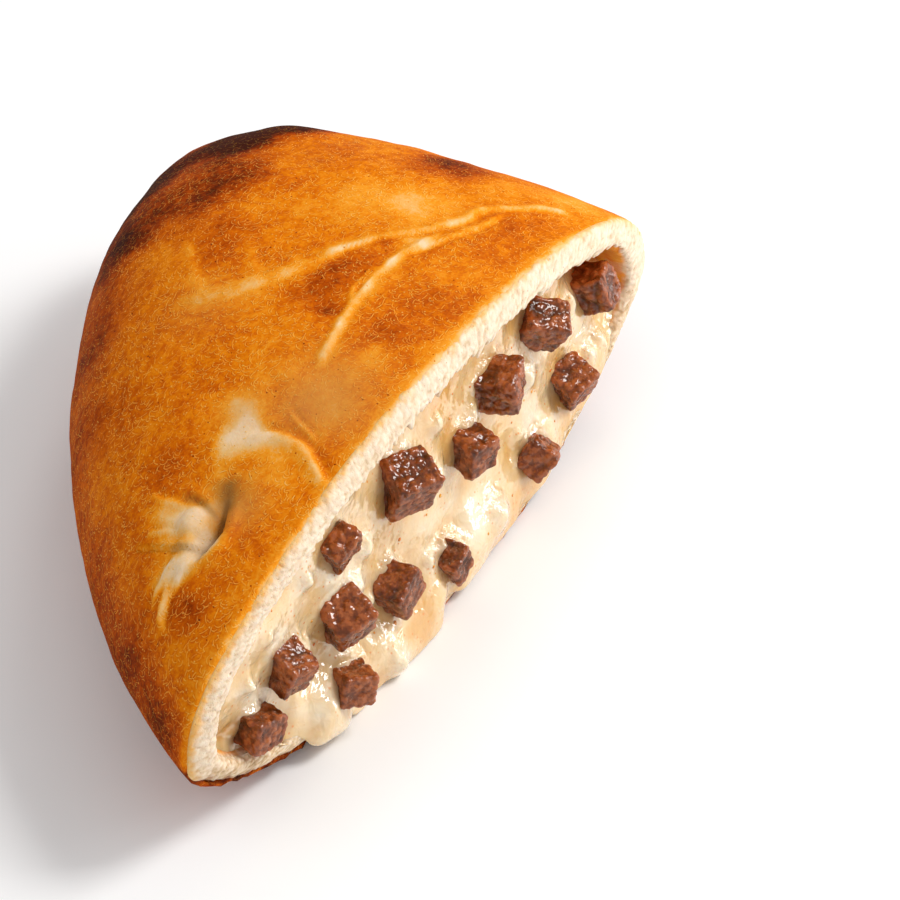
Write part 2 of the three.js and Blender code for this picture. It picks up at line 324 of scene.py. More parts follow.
def shell_point(shell, angle, depth):
    """A point on a shell of the pocket. angle goes round the cut's outline from the fold over the
    top, with |x|^flat + |z|^steep = 1 in each quarter, and depth from 0 at the cut to 1 at the closed
    corner, towards which the two ends, the top and the bottom draw in."""
    angle, depth = np.broadcast_arrays(np.asarray(angle, float), np.asarray(depth, float))
    across, up = np.cos(angle), np.sin(angle)
    top, fold = up >= 0, across >= 0
    flat, steep = (
        np.where(fold, np.where(top, FOLD_TOP[k], FOLD_LOW[k]), np.where(top, SEAM_TOP[k], SEAM_LOW[k]))
        for k in (0, 1)
    )
    run = np.abs(across) ** (2 / flat)
    rise = np.abs(up) ** (2 / steep)
    cut_x = np.where(fold, mix(RIDGE_X, shell["fold"], run), mix(RIDGE_X, -shell["seam"], run))
    share = (cut_x + shell["seam"]) / (shell["seam"] + shell["fold"])
    seam_side = mix(TIP_X, -shell["seam"], closing(depth, SEAM_CLOSING))
    fold_side = mix(TIP_X, shell["fold"], closing(depth, FOLD_CLOSING))
    seam = mix(SEAM_HEIGHT, TIP_HEIGHT, depth**2)
    crown = (shell["top"] - SEAM_HEIGHT) * rise * closing(depth, TOP_CLOSING)
    belly = (seam - shell["floor"] + BASE_SINK) * rise * closing(depth, BASE_CLOSING)
    z = np.where(top, seam + crown, np.maximum(seam - belly, shell["floor"]))
    front = cut_bow(cut_x, z) - shell["bevel"] * (z / HEIGHT)
    x = mix(seam_side, fold_side, share)
    y = shell["depth"] * depth + front * (1 - depth)
    return np.stack([x, y, z], -1)


def pocket_wall(shell, angle, depth):
    """A point on the inside of the dough, which is thinner round the bare hollow by the fold."""
    inner, outer = shell_point(shell, angle, depth), shell_point(OUTSIDE, angle, depth)
    x, z, radius = THIN_PLACE
    near = near_on_cut(inner, x, z, radius) * bell(inner[..., 1], THIN_REACH)
    return mix(inner, outer, (THINNER * near)[..., None])


def even_angles(count, low_share):
    """Angles that space the columns evenly along the cut's outline, where a millimetre of its lower
    half counts as low_share of one."""
    fine = np.linspace(0, 2 * np.pi, 7201)
    outline = shell_point(OUTSIDE, fine, 0.0)
    lengths = np.linalg.norm(np.diff(outline, axis=0), axis=1)
    lengths = lengths * np.where(np.sin(fine[:-1]) < 0, low_share, 1.0) + 1e-6
    run = np.concatenate([[0], np.cumsum(lengths)])
    return np.interp(np.arange(count) / count * run[-1], run, fine)


def low_half(angles):
    """0 for the upper half of the cut's outline and 1 for its lower half, as a column."""
    return ramp(-np.sin(angles), 0.05, 0.3)[:, None]


def near_seam(x):
    """0 over most of the cut and 1 near its sealed end."""
    return ramp(-x, 30, 62)


def edge_turn_in(x):
    """How far the browned skin turns in over the cut's edge: more towards the sealed end."""
    return EDGE_ROUND + SEAM_TURN_IN * near_seam(x)


# ---- Crust ---------------------------------------------------------------------------------------

CRUST_COLUMNS = 450
CRUST_ROWS = 188
# The radius of the crust's edge at the cut, and how much further it turns in near the sealed end.
EDGE_ROUND = 1.3
SEAM_TURN_IN = 1.9
# How deep in the pocket the rows of the crust's inside lie.
INSIDE_DEPTHS = (0.02, 0.06, 0.1, 0.2, 0.3, 0.5, 0.7, 0.85, 0.95, 1.0)

# Creases of the top dough: a line along its surface, then how much paler it baked and how wide that
# is on the line's left and right, the share of this in a narrow core, and a ridge and a groove, each
# as its height or depth, where it runs left of the line, and its width.
CREASES = [
    ([(-5.5, 53.1, 48.0), (-2.0, 46.5, 50.9), (1.5, 42.4, 52.4), (5.8, 39.3, 53.3), (9.3, 36.8, 53.5),
      (15.1, 33.2, 53.7), (19.3, 32.1, 53.6), (23, 30.6, 53.4)],
     (0.3, 2.2, 1.9), 0.1, (0.25, 0.8, 1.8), (0.15, -1.2, 1.0)),
    ([(-2, 49.8, 50.0), (0.0, 49.2, 50.5), (5.9, 54.7, 49.8), (11.8, 59.5, 49.0)],
     (0.15, 1.5, 1.5), 0.0, (0.1, 0, 1.2), (0.05, -1.2, 1.0)),
    ([(4, 40.5, 52.8), (7.5, 42.1, 52.9), (12.6, 46.2, 52.3), (16.9, 49.5, 51.7)],
     (0.12, 1.4, 1.4), 0.0, (0.1, 0, 1.2), (0.05, -1.2, 1.0)),
    ([(15.1, 33.2, 53.7), (19.3, 32.1, 53.6), (26.0, 28.3, 53.3), (31.2, 23.8, 52.8),
      (33.9, 21.5, 52.4), (37.4, 19.6, 51.8), (41.4, 18.0, 51.0), (46.0, 17.3, 49.9), (50, 15.8, 48.8)],
     (0.42, 1.9, 0.5), 0.45, (0.35, 0.6, 1.0), (0.35, -0.8, 0.6)),
    ([(43, 18.5, 50.6), (47.8, 17.6, 49.5), (53.9, 12.2, 47.4), (57.4, 9.9, 46.1), (59.9, 4.8, 44.9)],
     (0.34, 1.2, 0.6), 0.45, (0.3, 0.4, 0.9), (0.35, -0.9, 0.6)),
    ([(36, 18.8, 52.1), (32.5, 19.6, 52.6), (28.3, 20.4, 53.2), (24.6, 21.1, 53.6), (19.9, 21.5, 54.0),
      (15.8, 21.7, 54.2), (11.9, 21.1, 54.4), (7.3, 20.8, 54.6), (3.2, 20.0, 54.7), (-1.1, 19.2, 54.7),
      (-4.4, 18.5, 54.7), (-8.1, 17.7, 54.5), (-12, 16.5, 54.3)],
     (0.46, 1.7, 0.8), 0.3, (0.5, -0.1, 0.8), (0.3, 0.9, 0.5)),
    ([(19, 22.6, 54), (16.4, 22.9, 54.2), (13.2, 22.9, 54.3), (10.7, 22.8, 54.4), (7.4, 21.9, 54.5)],
     (0.34, 0.4, 0.4), 0.45, (0.3, 0, 0.5), (0.35, 0.7, 0.4)),
    ([(25.5, 20.3, 53.4), (29.6, 18.8, 53.0), (33.3, 17.3, 52.5), (37.6, 15.7, 51.8),
      (41.1, 14.5, 51.0), (45.4, 13.8, 50.0), (49.1, 13.8, 49.0)],
     (0.26, 0.7, 0.4), 0.45, (0.2, 0.3, 0.6), (0.45, -0.6, 0.5)),
    ([(-30.5, 20, 50.9), (-28.0, 16.1, 51.9), (-27.6, 13.0, 52.3), (-28.1, 9.4, 52.5),
      (-29.8, 6.7, 52.5), (-32.0, 3.5, 52.3), (-35, 0, 52)],
     (0.36, 0.9, 2.2), 0.15, (0.5, -0.3, 1.5), (0.5, 1.6, 0.9)),
    ([(-21.5, 16.5, 52.9), (-23.8, 12.6, 53.0), (-25.1, 9.5, 53.0), (-27.0, 6.7, 52.9)],
     (0.16, 0.5, 0.5), 0.45, (0.2, 0, 0.7), (0.25, 0.8, 0.5)),
    ([(-43.6, 25, 45.4), (-42.9, 23.0, 46.3), (-43.9, 19.9, 46.9), (-45.9, 16.4, 47.2),
      (-48, 14.4, 46.6)],
     (0.0, 1, 1), 0.45, (0.2, 1.2, 1.0), (0.6, -0.2, 0.7)),
    ([(-53.3, 28.5, 39), (-53.3, 23.6, 41.5), (-53.3, 19.4, 43.2), (-52.6, 15.4, 44.8),
      (-52.2, 13, 45.6)],
     (0.2, 0.5, 0.3), 0.45, (0.25, 0.7, 0.5), (0.6, -0.2, 0.45)),
    ([(-55.5, 14.2, 44), (-58, 15.1, 42.3), (-61.4, 15.6, 40.1), (-64.3, 14.6, 38.8),
      (-66.8, 13.0, 37.3)],
     (0.32, 0.4, 0.9), 0.45, (0.35, -0.6, 0.7), (0.5, 0.6, 0.7)),
    ([(-54.1, 17.8, 43.3), (-56.6, 18.7, 41.7), (-59.9, 18.3, 39.8), (-64, 17, 37.6)],
     (0.26, 0.5, 0.5), 0.45, (0.3, 0, 0.5), (0.4, -1.0, 0.6)),
    ([(-56, 17, 42.3), (-59, 16.8, 40.8), (-62, 15.6, 39.8), (-65.5, 14.8, 37.6)],
     (0.24, 0.35, 0.35), 0.45, (0.25, 0, 0.4), (0.2, 0.6, 0.4)),
    ([(-43.5, 31, 43.2), (-44.7, 28.1, 44.1), (-45.0, 24.7, 45.2), (-45.2, 22.0, 45.9)],
     (0.2, 0.6, 0.6), 0.45, (0.2, 0, 0.6), (0.3, 1.0, 0.7)),
    ([(-50.8, 27, 41.3), (-50.4, 24, 42.8), (-50, 20.0, 44.4)],
     (0.2, 0.6, 0.6), 0.45, (0.2, 0, 0.5), (0.3, 1.0, 0.6)),
]
# The pinched hole: places, radii and heights of its hollow and the valley above it, then of the two
# buttons of dough in it, which have steeper sides.
PINCH = [((-47.4, 15.6, 46.8), 4.6, -1.7), ((-42.0, 16.6, 48.0), 3.6, -1.4),
         ((-55.5, 16.4, 43.4), 2.4, 0.5)]
BUTTONS = [((-47.6, 18.2, 46.2), 3.4, 1.9), ((-52.0, 17.7, 44.4), 1.7, 0.9)]
# Painted shade in the deep folds of the pinched hole, dark brown where the fold's shadow falls:
# lines, how far that reaches on the left and right of the line, and its strength.
PAINTED_FOLD_SHADE = [
    ([(-42, 15.9, 48.4), (-44.6, 14.9, 47.9), (-47.1, 14.0, 47.2), (-48.9, 13.1, 46.8),
      (-50.9, 12.9, 46.1), (-52.9, 13.2, 45.2), (-55.4, 13.9, 44.0)], 0.25, 1.9, 1.0),
    ([(-43.4, 25.5, 45.3), (-43.6, 22.4, 46.3), (-44.0, 19.6, 46.9), (-45.2, 16.6, 47.2),
      (-47, 14.4, 47.1)], 1.0, 0.9, 0.6),
    ([(-53.1, 21.2, 42.8), (-52.9, 18.2, 43.8), (-52.6, 15.8, 44.7), (-52.1, 13.1, 45.6)], 0.8, 0.8, 0.35),
    ([(-37.5, 18.5, 49.4), (-40.2, 17.0, 48.8), (-42.6, 16.0, 48.3), (-45, 14.8, 47.8)], 1.8, 2.6, 0.72),
]
# The fold of dough that overhangs the hole on its right: its edge, how far the dough drops beyond it,
# over how much it comes back, and the swell of the fold itself.
FOLD_EDGE = dict(line=[(-40.5, 16.6, 48.6), (-43.2, 15.6, 48.0), (-45.6, 14.3, 47.6), (-48.3, 13.1, 47.0),
                       (-51.2, 12.8, 46.0), (-53.4, 13.3, 45.0), (-56.2, 14.2, 43.6)],
                 drop=2.6, back=2.0, swell=1.1)
# Broad swellings of the baked dough: place, radius and height.
SWELLS = [((57, 67, 41.5), 8, 1.5)]

# Patches that baked darker (above 0) or stayed paler (below 0): x, y, z, radius and strength.
PATCHES = [
    (56, 72, 40, 9, 0.42), (47, 76, 42, 7, 0.34), (64, 66, 37, 8, 0.3), (38, 84, 37, 9, 0.46),
    (28, 84, 36, 8, 0.4), (16, 83, 30, 9, 0.36), (33, 64, 48, 7, 0.17), (24, 66, 48, 7, 0.17),
    (15, 62, 48.7, 4, 0.1), (25.7, 64.4, 48, 4, 0.15), (1, 72, 37, 9, 0.12), (-12, 65, 36, 9, 0.14),
    (10, 29.8, 54.1, 5.5, 0.2), (4.7, 23.8, 54.5, 3.0, 0.22), (16.5, 29, 54, 4, 0.12),
    (-61.4, 11.3, 41.7, 3.6, 0.2), (-65, 9, 40.5, 4, 0.1), (-75, 8, 28, 8, 0.08), (62, 33, 44, 7, 0.2),
    (54, 36, 46, 6, 0.1), (28, 19, 53, 4, 0.06), (42, 9, 51, 5, 0.1), (34, 10, 52, 5, 0.08),
    (16, 8, 54, 7, 0.1), (4, 12, 55, 5, 0.12), (-38.7, 32, 45, 5, 0.14), (-29, 54, 36, 9, 0.1),
    (-53, 35, 30, 9, 0.1), (-68, 17, 32, 8, 0.12), (28, 26, 53.2, 2.4, 0.14),
    (-28.3, 21.5, 51.0, 3.6, -0.48), (-24, 24, 51.3, 3.4, -0.3), (-34, 20.4, 49.9, 2.8, -0.28),
    (-36.5, 21.5, 48.5, 2.2, -0.15), (-48, 21, 45, 3.6, -0.32), (-46.5, 26, 44.2, 3.2, -0.28),
    (-54.5, 16.5, 43.6, 3.2, -0.3), (-53, 21, 42.8, 3.0, -0.12), (-57.5, 17.3, 41.8, 2.6, -0.22),
    (-43.4, 14.6, 48.3, 3.4, -0.06), (-18.4, 8.7, 54, 5, -0.14), (-14.3, 14.2, 54.2, 6, -0.12),
    (33, 42, 51.7, 7, -0.04), (41, 29, 51, 7, -0.2), (38, 38, 51.2, 5, -0.1), (16, 46, 52.2, 5, -0.04),
    (-0.3, 39, 52.8, 5, -0.05), (1, 49.9, 50.5, 5, -0.05), (66, 9, 42, 7, -0.16),
    (57, 20, 47, 6, -0.12), (-33, 9, 51.6, 5, -0.1), (-5, 28, 54, 6, -0.04),
    (29.2, 21.0, 53, 2.2, -0.3), (-47.4, 18.0, 46.3, 3.4, -0.44), (-51.0, 15, 45.4, 2.6, -0.36),
    (-42.6, 17.4, 48, 2.6, -0.14), (-4.6, 9.5, 54.9, 2.4, -0.16), (-0.9, 11.4, 54.9, 2.0, -0.12),
    (-30.2, 19.6, 50.9, 4, -0.14), (-32.2, 12.4, 51.6, 4, -0.12), (25, 74, 44, 7, 0.16),
    (15, 75, 41, 7, 0.2), (9.7, 74.4, 39.6, 6, 0.14), (39, 70, 45.5, 6, 0.2), (38, 66, 46.5, 5, 0.08),
    (46, 73, 43, 5, 0.2), (-65, 22.5, 30, 8, 0.05), (-76, 7, 26, 6, 0.05), (61, 64, 40.5, 6, 0.22),
    (56, 69, 41.5, 5, 0.16), (64.4, 32.5, 42.8, 5, 0.16), (17.8, 72, 43.8, 6, 0.1),
    (13.6, 76.5, 38.9, 6, 0.1), (3.3, 73, 38, 7, 0.1), (19.9, 50.2, 51.6, 6, 0.12),
    (15, 54, 51, 6, 0.12), (19, 19.8, 54.1, 3, -0.1), (13, 20.2, 54.4, 2.4, -0.08),
    (38.4, 25, 51.6, 4, -0.08), (46.7, 24.2, 49.8, 5, -0.08), (-28.4, 17.3, 51.7, 3, -0.16),
    (-29, 13.6, 52, 3, -0.1), (-10.4, 65.9, 37.7, 9, 0.13), (-25.9, 57.7, 34.9, 9, 0.06),
    (50.1, 71.1, 42.8, 6, 0.32), (56.6, 70, 41, 5, 0.16), (-51.5, 14, 45.4, 2.6, -0.22),
    (-55, 14.8, 44, 2.6, -0.2), (-58.5, 15.8, 42, 2.4, -0.16), (-40.5, 17, 48.6, 3, -0.14),
    (31, 62, 48.5, 4.5, 0.09), (23, 64.4, 48.1, 4, 0.08), (37, 59.5, 48.6, 3.5, 0.05),
    (-2.5, 11, 54.9, 2.6, -0.1),
]
# Where the top stayed floury and dull: place, radius and strength. The patch in the pinched hole is partly
# painted shade of its fold.
DULL_PATCHES = [((-13, 12.5, 54.3), 8.5, 0.75), ((-21, 14, 53.6), 6, 0.6), ((-19, 6, 54), 6, 0.45),
                ((-3, 46, 51), 7, 0.35), ((-43.5, 13.5, 48.4), 5, 0.95), ((-24, 24, 51.3), 4, 0.5)]


def crease_relief(points):
    """Height and paleness from the creases: a bell of height on one side of the line, a bell of depth
    on the other, a narrow pale core and two half bells of paler dough round it, all fading at the
    line's two ends."""
    height = np.zeros(points.shape[:-1])
    pale = np.zeros_like(height)
    wander = 0.2 * lumps(points, 5, 31) + 0.16 * lumps(points, 1.9, 32)
    uneven = 0.85 + 0.35 * lumps(points, 4.5, 33) + 0.15 * lumps(points, 1.2, 34)
    for line, (paler, left, right), core, ridge, groove in CREASES:
        signed, along = path_place(points, line)
        signed = signed + wander * np.sign(signed + 1e-9)
        ends = fading_ends(along, 0.14, 0.14)
        for way, (rise, at, width) in ((1, ridge), (-1, groove)):
            height += way * ends * rise * bell(signed - at, width)
        halo = np.where(signed > 0, bell(signed, left), bell(signed, right))
        pale += ends * paler * mix(halo, bell(signed, min(left, right, 0.6)), core)
    return height, pale * uneven


def dough_relief(points):
    """How far the crust stands out of its smooth shell: creases, swellings, the pinched hole with the
    step down from the edge of its fold, and soft lumps."""
    height, _ = crease_relief(points)
    for place, radius, rise in PINCH + SWELLS:
        height += rise * near_place(points, place, radius)
    for place, radius, rise in BUTTONS:
        height += rise * bell((np.linalg.norm(points - place, axis=-1) / radius) ** 2, 1.0)
    signed, along = path_place(points, FOLD_EDGE["line"])
    ends = fading_ends(along, 0.4, 0.3)
    hollow = ramp(-signed, -0.3, 0.5) * bell(np.maximum(-signed, 0), FOLD_EDGE["back"])
    height += ends * (FOLD_EDGE["swell"] * bell(signed - 1.6, 1.6) - FOLD_EDGE["drop"] * hollow)
    height += 0.5 * lumps(points, 24, 1) + 0.28 * lumps(points, 11, 2)
    height += 0.1 * lumps(points, 5, 3) + 0.05 * lumps(points, 2.2, 4)
    from_cut = points[..., 1] - cut_bow(points[..., 0], points[..., 2])
    crisp = ramp(-from_cut, -5, -2) * ramp(-points[..., 2], -SEAM_HEIGHT, -12)
    return height + crisp * (0.45 * lumps(points, 1.7, 5) + 0.3 * lumps(points, 0.9, 6))


def browning(points, normals, from_cut):
    """How far the crust baked, from 0 for cream dough to 1 for nearly black: an even golden brown,
    more on the walls and under the part, plus the patches and less the creases. At the cut the top
    pales to cream, and the lower edge is crisp and dark."""
    wall = ramp(-normals[..., 2], -0.62, 0.0)
    under = ramp(-normals[..., 2], 0.35, 0.8)
    brown = 0.46 + 0.22 * wall + 0.02 * under
    patchy = points + 1.6 * jitter(points, 5, 11)
    for *place, radius, strength in PATCHES:
        brown += strength * near_place(patchy, place, radius)
    brown += 0.06 * lumps(points, 13, 14) + 0.05 * lumps(points, 5.5, 15) + 0.03 * lumps(points, 2.4, 16)
    blotches = 0.12 * ramp(lumps(points, 9, 17), 0, 0.7) - 0.1 * ramp(lumps(points, 17, 18), 0.1, 0.6)
    brown += under * blotches
    brown = np.minimum(brown, 1.0) - crease_relief(points)[1]
    edge = from_cut + 0.5 * lumps(points, 2, 19) + 0.6 * lumps(points, 9, 20)
    top = ramp(normals[..., 2], -0.5, 0.1)
    crisp = 0.84 + 0.24 * lumps(points, 1.6, 23) + 0.2 * lumps(points, 0.8, 24)
    start = mix(2.5, 0.0, top)
    brown = mix(mix(crisp, np.minimum(brown, 0.36), top), brown, ramp(edge - start, 0.0, 2.8))
    return np.clip(mix(mix(crisp, 0.05, top), brown, ramp(edge, -1.3, 0.6)), 0, 1)


def even_depths(count, start):
    """Depths that space the rows evenly, measured as the mean over the ring, from 1 to start."""
    fine = np.concatenate([np.linspace(start, 0.9, 2000), 1 - 0.1 * (1 - np.linspace(0, 1, 3001)) ** 4])
    fine = np.unique(fine)
    rings = shell_point(OUTSIDE, even_angles(180, 0.3), fine[:, None])
    steps = np.linalg.norm(np.diff(rings, axis=0), axis=-1).mean(1)
    run = np.concatenate([[0], np.cumsum(steps)])
    return np.interp(np.linspace(run[-1], 0, count), run, fine)


def turned_edge(rim, normals, angles):
    """The rows past the skin's rim: a quarter circle over the edge, a step in across the cut, and one
    back behind the crumb. Round the lower half the edge is thinner, and ragged by noise."""
    across = unit(normals * [1, 0, 1])
    low = low_half(angles)
    jag = lumps(rim, 2.1, 21)[:, None] + 0.7 * lumps(rim, 1.1, 22)[:, None]
    radius = mix(edge_turn_in(rim[:, :1]), 0.5 + 0.15 * jag, low)
    proud = mix(EDGE_ROUND, EDGE_ROUND - 0.3 + 0.4 * jag, low)
    turns = np.linspace(0, np.pi / 2, 7)[1:]
    edge = [rim + across * radius * (math.cos(t) - 1) + AHEAD * proud * math.sin(t) for t in turns]
    edge.append(edge[-1] - across * mix(0.5, 0.6 + 0.3 * jag, low))
    edge.append(edge[-1] - across * 0.3 - AHEAD * 2.2)
    edge.append(mix(edge[-1], pocket_wall(BEHIND_CRUMB, angles, 0.0), 0.6) - AHEAD * 0.6)
    return np.stack(edge)


def crust_surface():
    """The dough's outside from its closed corner to the cut, over a rounded edge, back behind the
    crumb and along the inside to the pocket's end. Its colours are placed on the smooth shell, before
    the creases and folds move it."""
    angles = even_angles(CRUST_COLUMNS, 0.35)
    depths = even_depths(CRUST_ROWS, EDGE_ROUND / OUTSIDE["depth"])
    smooth = blur(shell_point(OUTSIDE, angles, depths[:, None]), 10, 1, True)
    smooth[1:] = blur(smooth, 4, 0, False)[1:]
    normals = grid_normals(smooth, wrap_columns=True)
    if ((smooth[-1] - smooth[-1].mean(0)) * normals[-1]).sum() < 0:
        normals = -normals
    fade = ramp(1 - depths, 0, 0.02)[:, None]
    skin = smooth + normals * (dough_relief(smooth) * fade)[..., None]
    skin[..., 2] = np.maximum(skin[..., 2], 0.02)
    skin[0] = skin[0].mean(0)
    edge = turned_edge(skin[-1], normals[-1], angles)
    inside = np.stack([pocket_wall(BEHIND_CRUMB, angles, depth) for depth in INSIDE_DEPTHS])
    points = np.concatenate([skin, edge, inside])

    all_normals = np.concatenate([normals, np.repeat(normals[-1:], len(edge) + len(inside), 0)])
    from_cut = points[..., 1] - cut_bow(points[..., 0], points[..., 2]) - EDGE_ROUND
    from_cut += 0.9 * near_seam(points[..., 0])
    spots = np.concatenate([smooth, edge, inside])
    brown = browning(spots, all_normals, from_cut)
    brown[-len(inside) - 1:] = 0.1
    # dull: floury patches, and partly painted shade in the pinched hole
    dull = sum(strength * near_place(spots, place, radius) for place, radius, strength in DULL_PATCHES)
    # shade: painted shade along the deep folds of the pinched hole, as dark brown colour
    shade = np.zeros_like(dull)
    for line, left, right, strength in PAINTED_FOLD_SHADE:
        signed, along = path_place(spots, line)
        ends = fading_ends(along, 0.25, 0.2)
        shade = np.maximum(shade, strength * ends * bell(signed, np.where(signed > 0, left, right)))
    return points, {"browning": brown, "dull": np.clip(dull, 0, 1), "shade": shade}


# ---- Crumb ---------------------------------------------------------------------------------------

CRUMB_COLUMNS = 1500
# Where the pocket's bare, oily wall shows beside the fold: x, z and radius on the cut.
BARE_PLACE = (66, 40, 13)


def crumb_surface():
    """The torn, open crumb of the cut: a band that comes from under the crust's edge, swells over
    the lip, turns into the pocket and closes behind itself inside the dough."""
    angles = even_angles(CRUMB_COLUMNS, 1.0)
    outer = shell_point(OUTSIDE, angles, 0.0)
    inner = pocket_wall(INSIDE, angles, 0.0)
    back = -AHEAD
    pocket = unit(inner - outer)
    turn_in = edge_turn_in(outer[:, :1])
    sealed = near_seam(outer[:, :1])
    low = low_half(angles)

    def on_lip(share, behind):
        return mix(outer, inner, share + 0.17 * low * (1 - share)) + behind * back

    def on_wall(depth):
        return pocket_wall(INSIDE, angles, depth / INSIDE["depth"])

    def on_edge(turn, proud, share, behind):
        """On the crust's rounded edge, so far out of it, or under the thin skin of the lower half."""
        turn = math.radians(turn)
        reach_in = turn_in - (turn_in + proud) * math.cos(turn)
        rounded = outer + pocket * reach_in + back * (EDGE_ROUND - (EDGE_ROUND + proud) * math.sin(turn))
        return mix(rounded, on_lip(share, behind), low)

    start = on_edge(-35, -0.9, 0.16, 3.0)
    emerging = mix(on_edge(5, -0.12, 0.13, 1.0), on_edge(38, -0.12, 0.13, 1.0), sealed)
    risen = mix(on_edge(50, 0.14, 0.2, 0.1), on_edge(68, 0.12, 0.2, 0.1), sealed)
    keys = np.stack([
        start, emerging, risen, on_lip(0.42 + 0.08 * sealed * (1 - low), -0.45),
        on_lip(0.64, -0.6), on_lip(0.84, -0.35), on_lip(0.97, 0.5), on_wall(2.2), on_wall(6),
        on_wall(13), on_wall(24),
        mix(on_wall(24), shell_point(OUTSIDE, angles, 24 / OUTSIDE["depth"]), 0.3),
        on_lip(0.5, 8.0), start,
    ])
    places = np.concatenate([np.linspace(0.6, 6.6, 38), np.linspace(7, 10, 12), [11, 12, 12.9]])
    points = smooth_path(keys, places)
    normals = grid_normals(points, True, True)
    seen = (ramp(places, 0.6, 1.5) * ramp(-places, -10, -8.5))[:, None]

    along = np.linalg.norm(np.roll(outer, -1, 0) - outer, axis=-1).cumsum()
    across = np.linalg.norm(np.diff(points, axis=0), axis=-1).mean(1).cumsum()
    sheet = np.stack(np.broadcast_arrays(along, np.concatenate([[0], across])[:, None], 0.0), -1)
    teeth = 4.2 * (0.24 - nearest_grain(sheet * [1, 0.2, 1], 1.5, 41) ** 2) + 0.5 * lumps(points, 3.0, 42)
    teeth *= bell(places - 5.9, 0.7)[:, None] * mix(0.15, 1, ramp(np.sin(angles), 0.3, 0.6))
    bent = sheet + 0.4 * jitter(points, 1.4, 48)
    bubble = 0.45 - nearest_grain(bent, 1.15, 43)
    froth = lumps(bent, 0.55, 44)
    pore = ramp(-nearest_grain(bent, 2.9, 38), -0.16, -0.05)
    relief = 0.26 * bubble + 0.07 * froth + 0.25 * lumps(points, 3.6, 45) + 0.08 * lumps(points, 1.2, 46)
    relief = relief - mix(0.35, 0.6, low[:, 0]) * pore
    if ((points[20] - points[-2]) * normals[20]).sum() < 0:
        normals = -normals
    bare = near_on_cut(points, *BARE_PLACE)
    wall = ramp(places[:, None] + 0.3 * lumps(points, 1.5, 40) + bare, 6.3, 7.3)
    relief = relief * mix(1, 0.25, wall)
    points = points + normals * (relief * seen)[..., None] + pocket * (teeth * seen)[..., None]
    wall = wall * (1 + bare)
    rim = ramp(-(places[:, None] + 0.4 * lumps(points, 0.9, 37) + 0.3 * lumps(points, 4, 36)), -2.5, -1.3)
    rim = rim * (1 - low[:, 0])
    toast = ramp(-(places[:, None] + 0.8 * lumps(points, 1.6, 39)), -2.9, -1.2) * low[:, 0]
    # holes: darker down in the pores and lighter on the bubbles as painted shade and light, plus toast on
    # the lower lip
    holes = np.clip(0.8 * pore + 0.22 + 0.3 * low[:, 0] - 0.8 * bubble - 0.15 * froth, 0, 1)
    return points, {"holes": holes, "wall": wall, "toast": toast, "rim": rim}


# ---- Cheese --------------------------------------------------------------------------------------

CHEESE = dict(seam=72.5, fold=72.0, top=50.0, floor=4.1, depth=79.9, bevel=1.2)
CHEESE_STATIONS = 410
# How far behind the cut the cheese's rim lies at the top and at the bottom, and its face.
RECESS_TOP, RECESS_LOW = 3.4, 0.5
FACE_BEHIND = 2.3
# The spine at mid height, which every loop passes, spans this share of the lower rim's x.
SPINE_SHARE = 0.74
# Where the cheese sank back from the lip: x, z, radius and depth.
HOLLOWS = [(67, 38, 11, 16), (37, 47, 6, 5), (19, 49, 5, 3), (-17, 49, 7, 5.5), (-36, 43, 5, 3),
           (-70, 20, 5, 2.5), (-66, 9, 6, 4)]
# Where the cheese ran over the lower lip: place along the cut, half width, how far it fell and how
# thick it hangs.
SPILLS = [(-49.5, 6.0, 0.3, 0.7), (-42.2, 6.8, 0.56, 2.6), (-28.0, 7.5, 0.85, 1.9), (-14.0, 9.5, 0.97, 2.7),
          (4.0, 8.0, 0.45, 1.2), (16.0, 8.0, 0.45, 0.9), (28.0, 9.0, 0.48, 0.9), (42.0, 9.0, 0.45, 0.9),
          (55.0, 9.0, 0.42, 0.8)]
# Where the cheese shines most, crinkled over a small swelling: x and z on the cut, and radius.
SHINES = [(53.7, 30.6, 1.4), (60.1, 18.3, 1.4), (55.3, 17.5, 1.0), (32.5, 29.8, 2.0), (13.9, 33.8, 1.4),
          (2.3, 39.8, 1.4), (-0.2, 31.2, 2.2), (27.9, 17.7, 1.3), (15.3, 11.5, 2.2), (-23.7, 31.4, 2.0),
          (-6.6, 14.6, 1.2), (-28.6, 26.3, 2.0), (-24.4, 18.7, 1.4), (-41.1, 36.3, 1.2), (-60.0, 26.1, 1.8),
          (-66.3, 23.1, 1.3), (-43.9, 23.6, 1.8), (-22.6, 5.4, 2.2), (-53.7, 32.7, 0.9)]
# Where the cheese bulges: x, z, radius and height.
BULGES = [(-24.5, 6.5, 5.0, 1.5), (-45.0, 8.5, 4.6, 1.5), (-39.5, 0.5, 3.4, 1.2), (-50.0, 14.5, 3.5, 1.0),
          (8.5, 12.0, 6.0, 1.0), (21.0, 14.0, 5.0, 0.8), (-8.3, 18.9, 5.0, 0.8), (-61.0, 23.5, 4.0, 1.0),
          (-31.6, 28.5, 4.0, 0.8)]
# The dent in the hollow beside the fold: x, z, radius and depth.
DENT = (66, 38.5, 5.0, 4.0)
# Where orange oil ran together, in that hollow and in the corner by the sealed edge: x, z and radius.
OILY_HOLLOW = (67, 39, 7.5)
OILY_CORNER = (-68, 10, 4.5)


def box_distance(points, cube, rounding):
    """Distance from points to a turned box with round edges, below 0 inside it."""
    centre, turn, half = cube
    local = np.abs((points - centre) @ turn) - (half - rounding)
    outside = np.linalg.norm(np.maximum(local, 0), axis=-1)
    return outside + np.minimum(local.max(-1), 0) - rounding


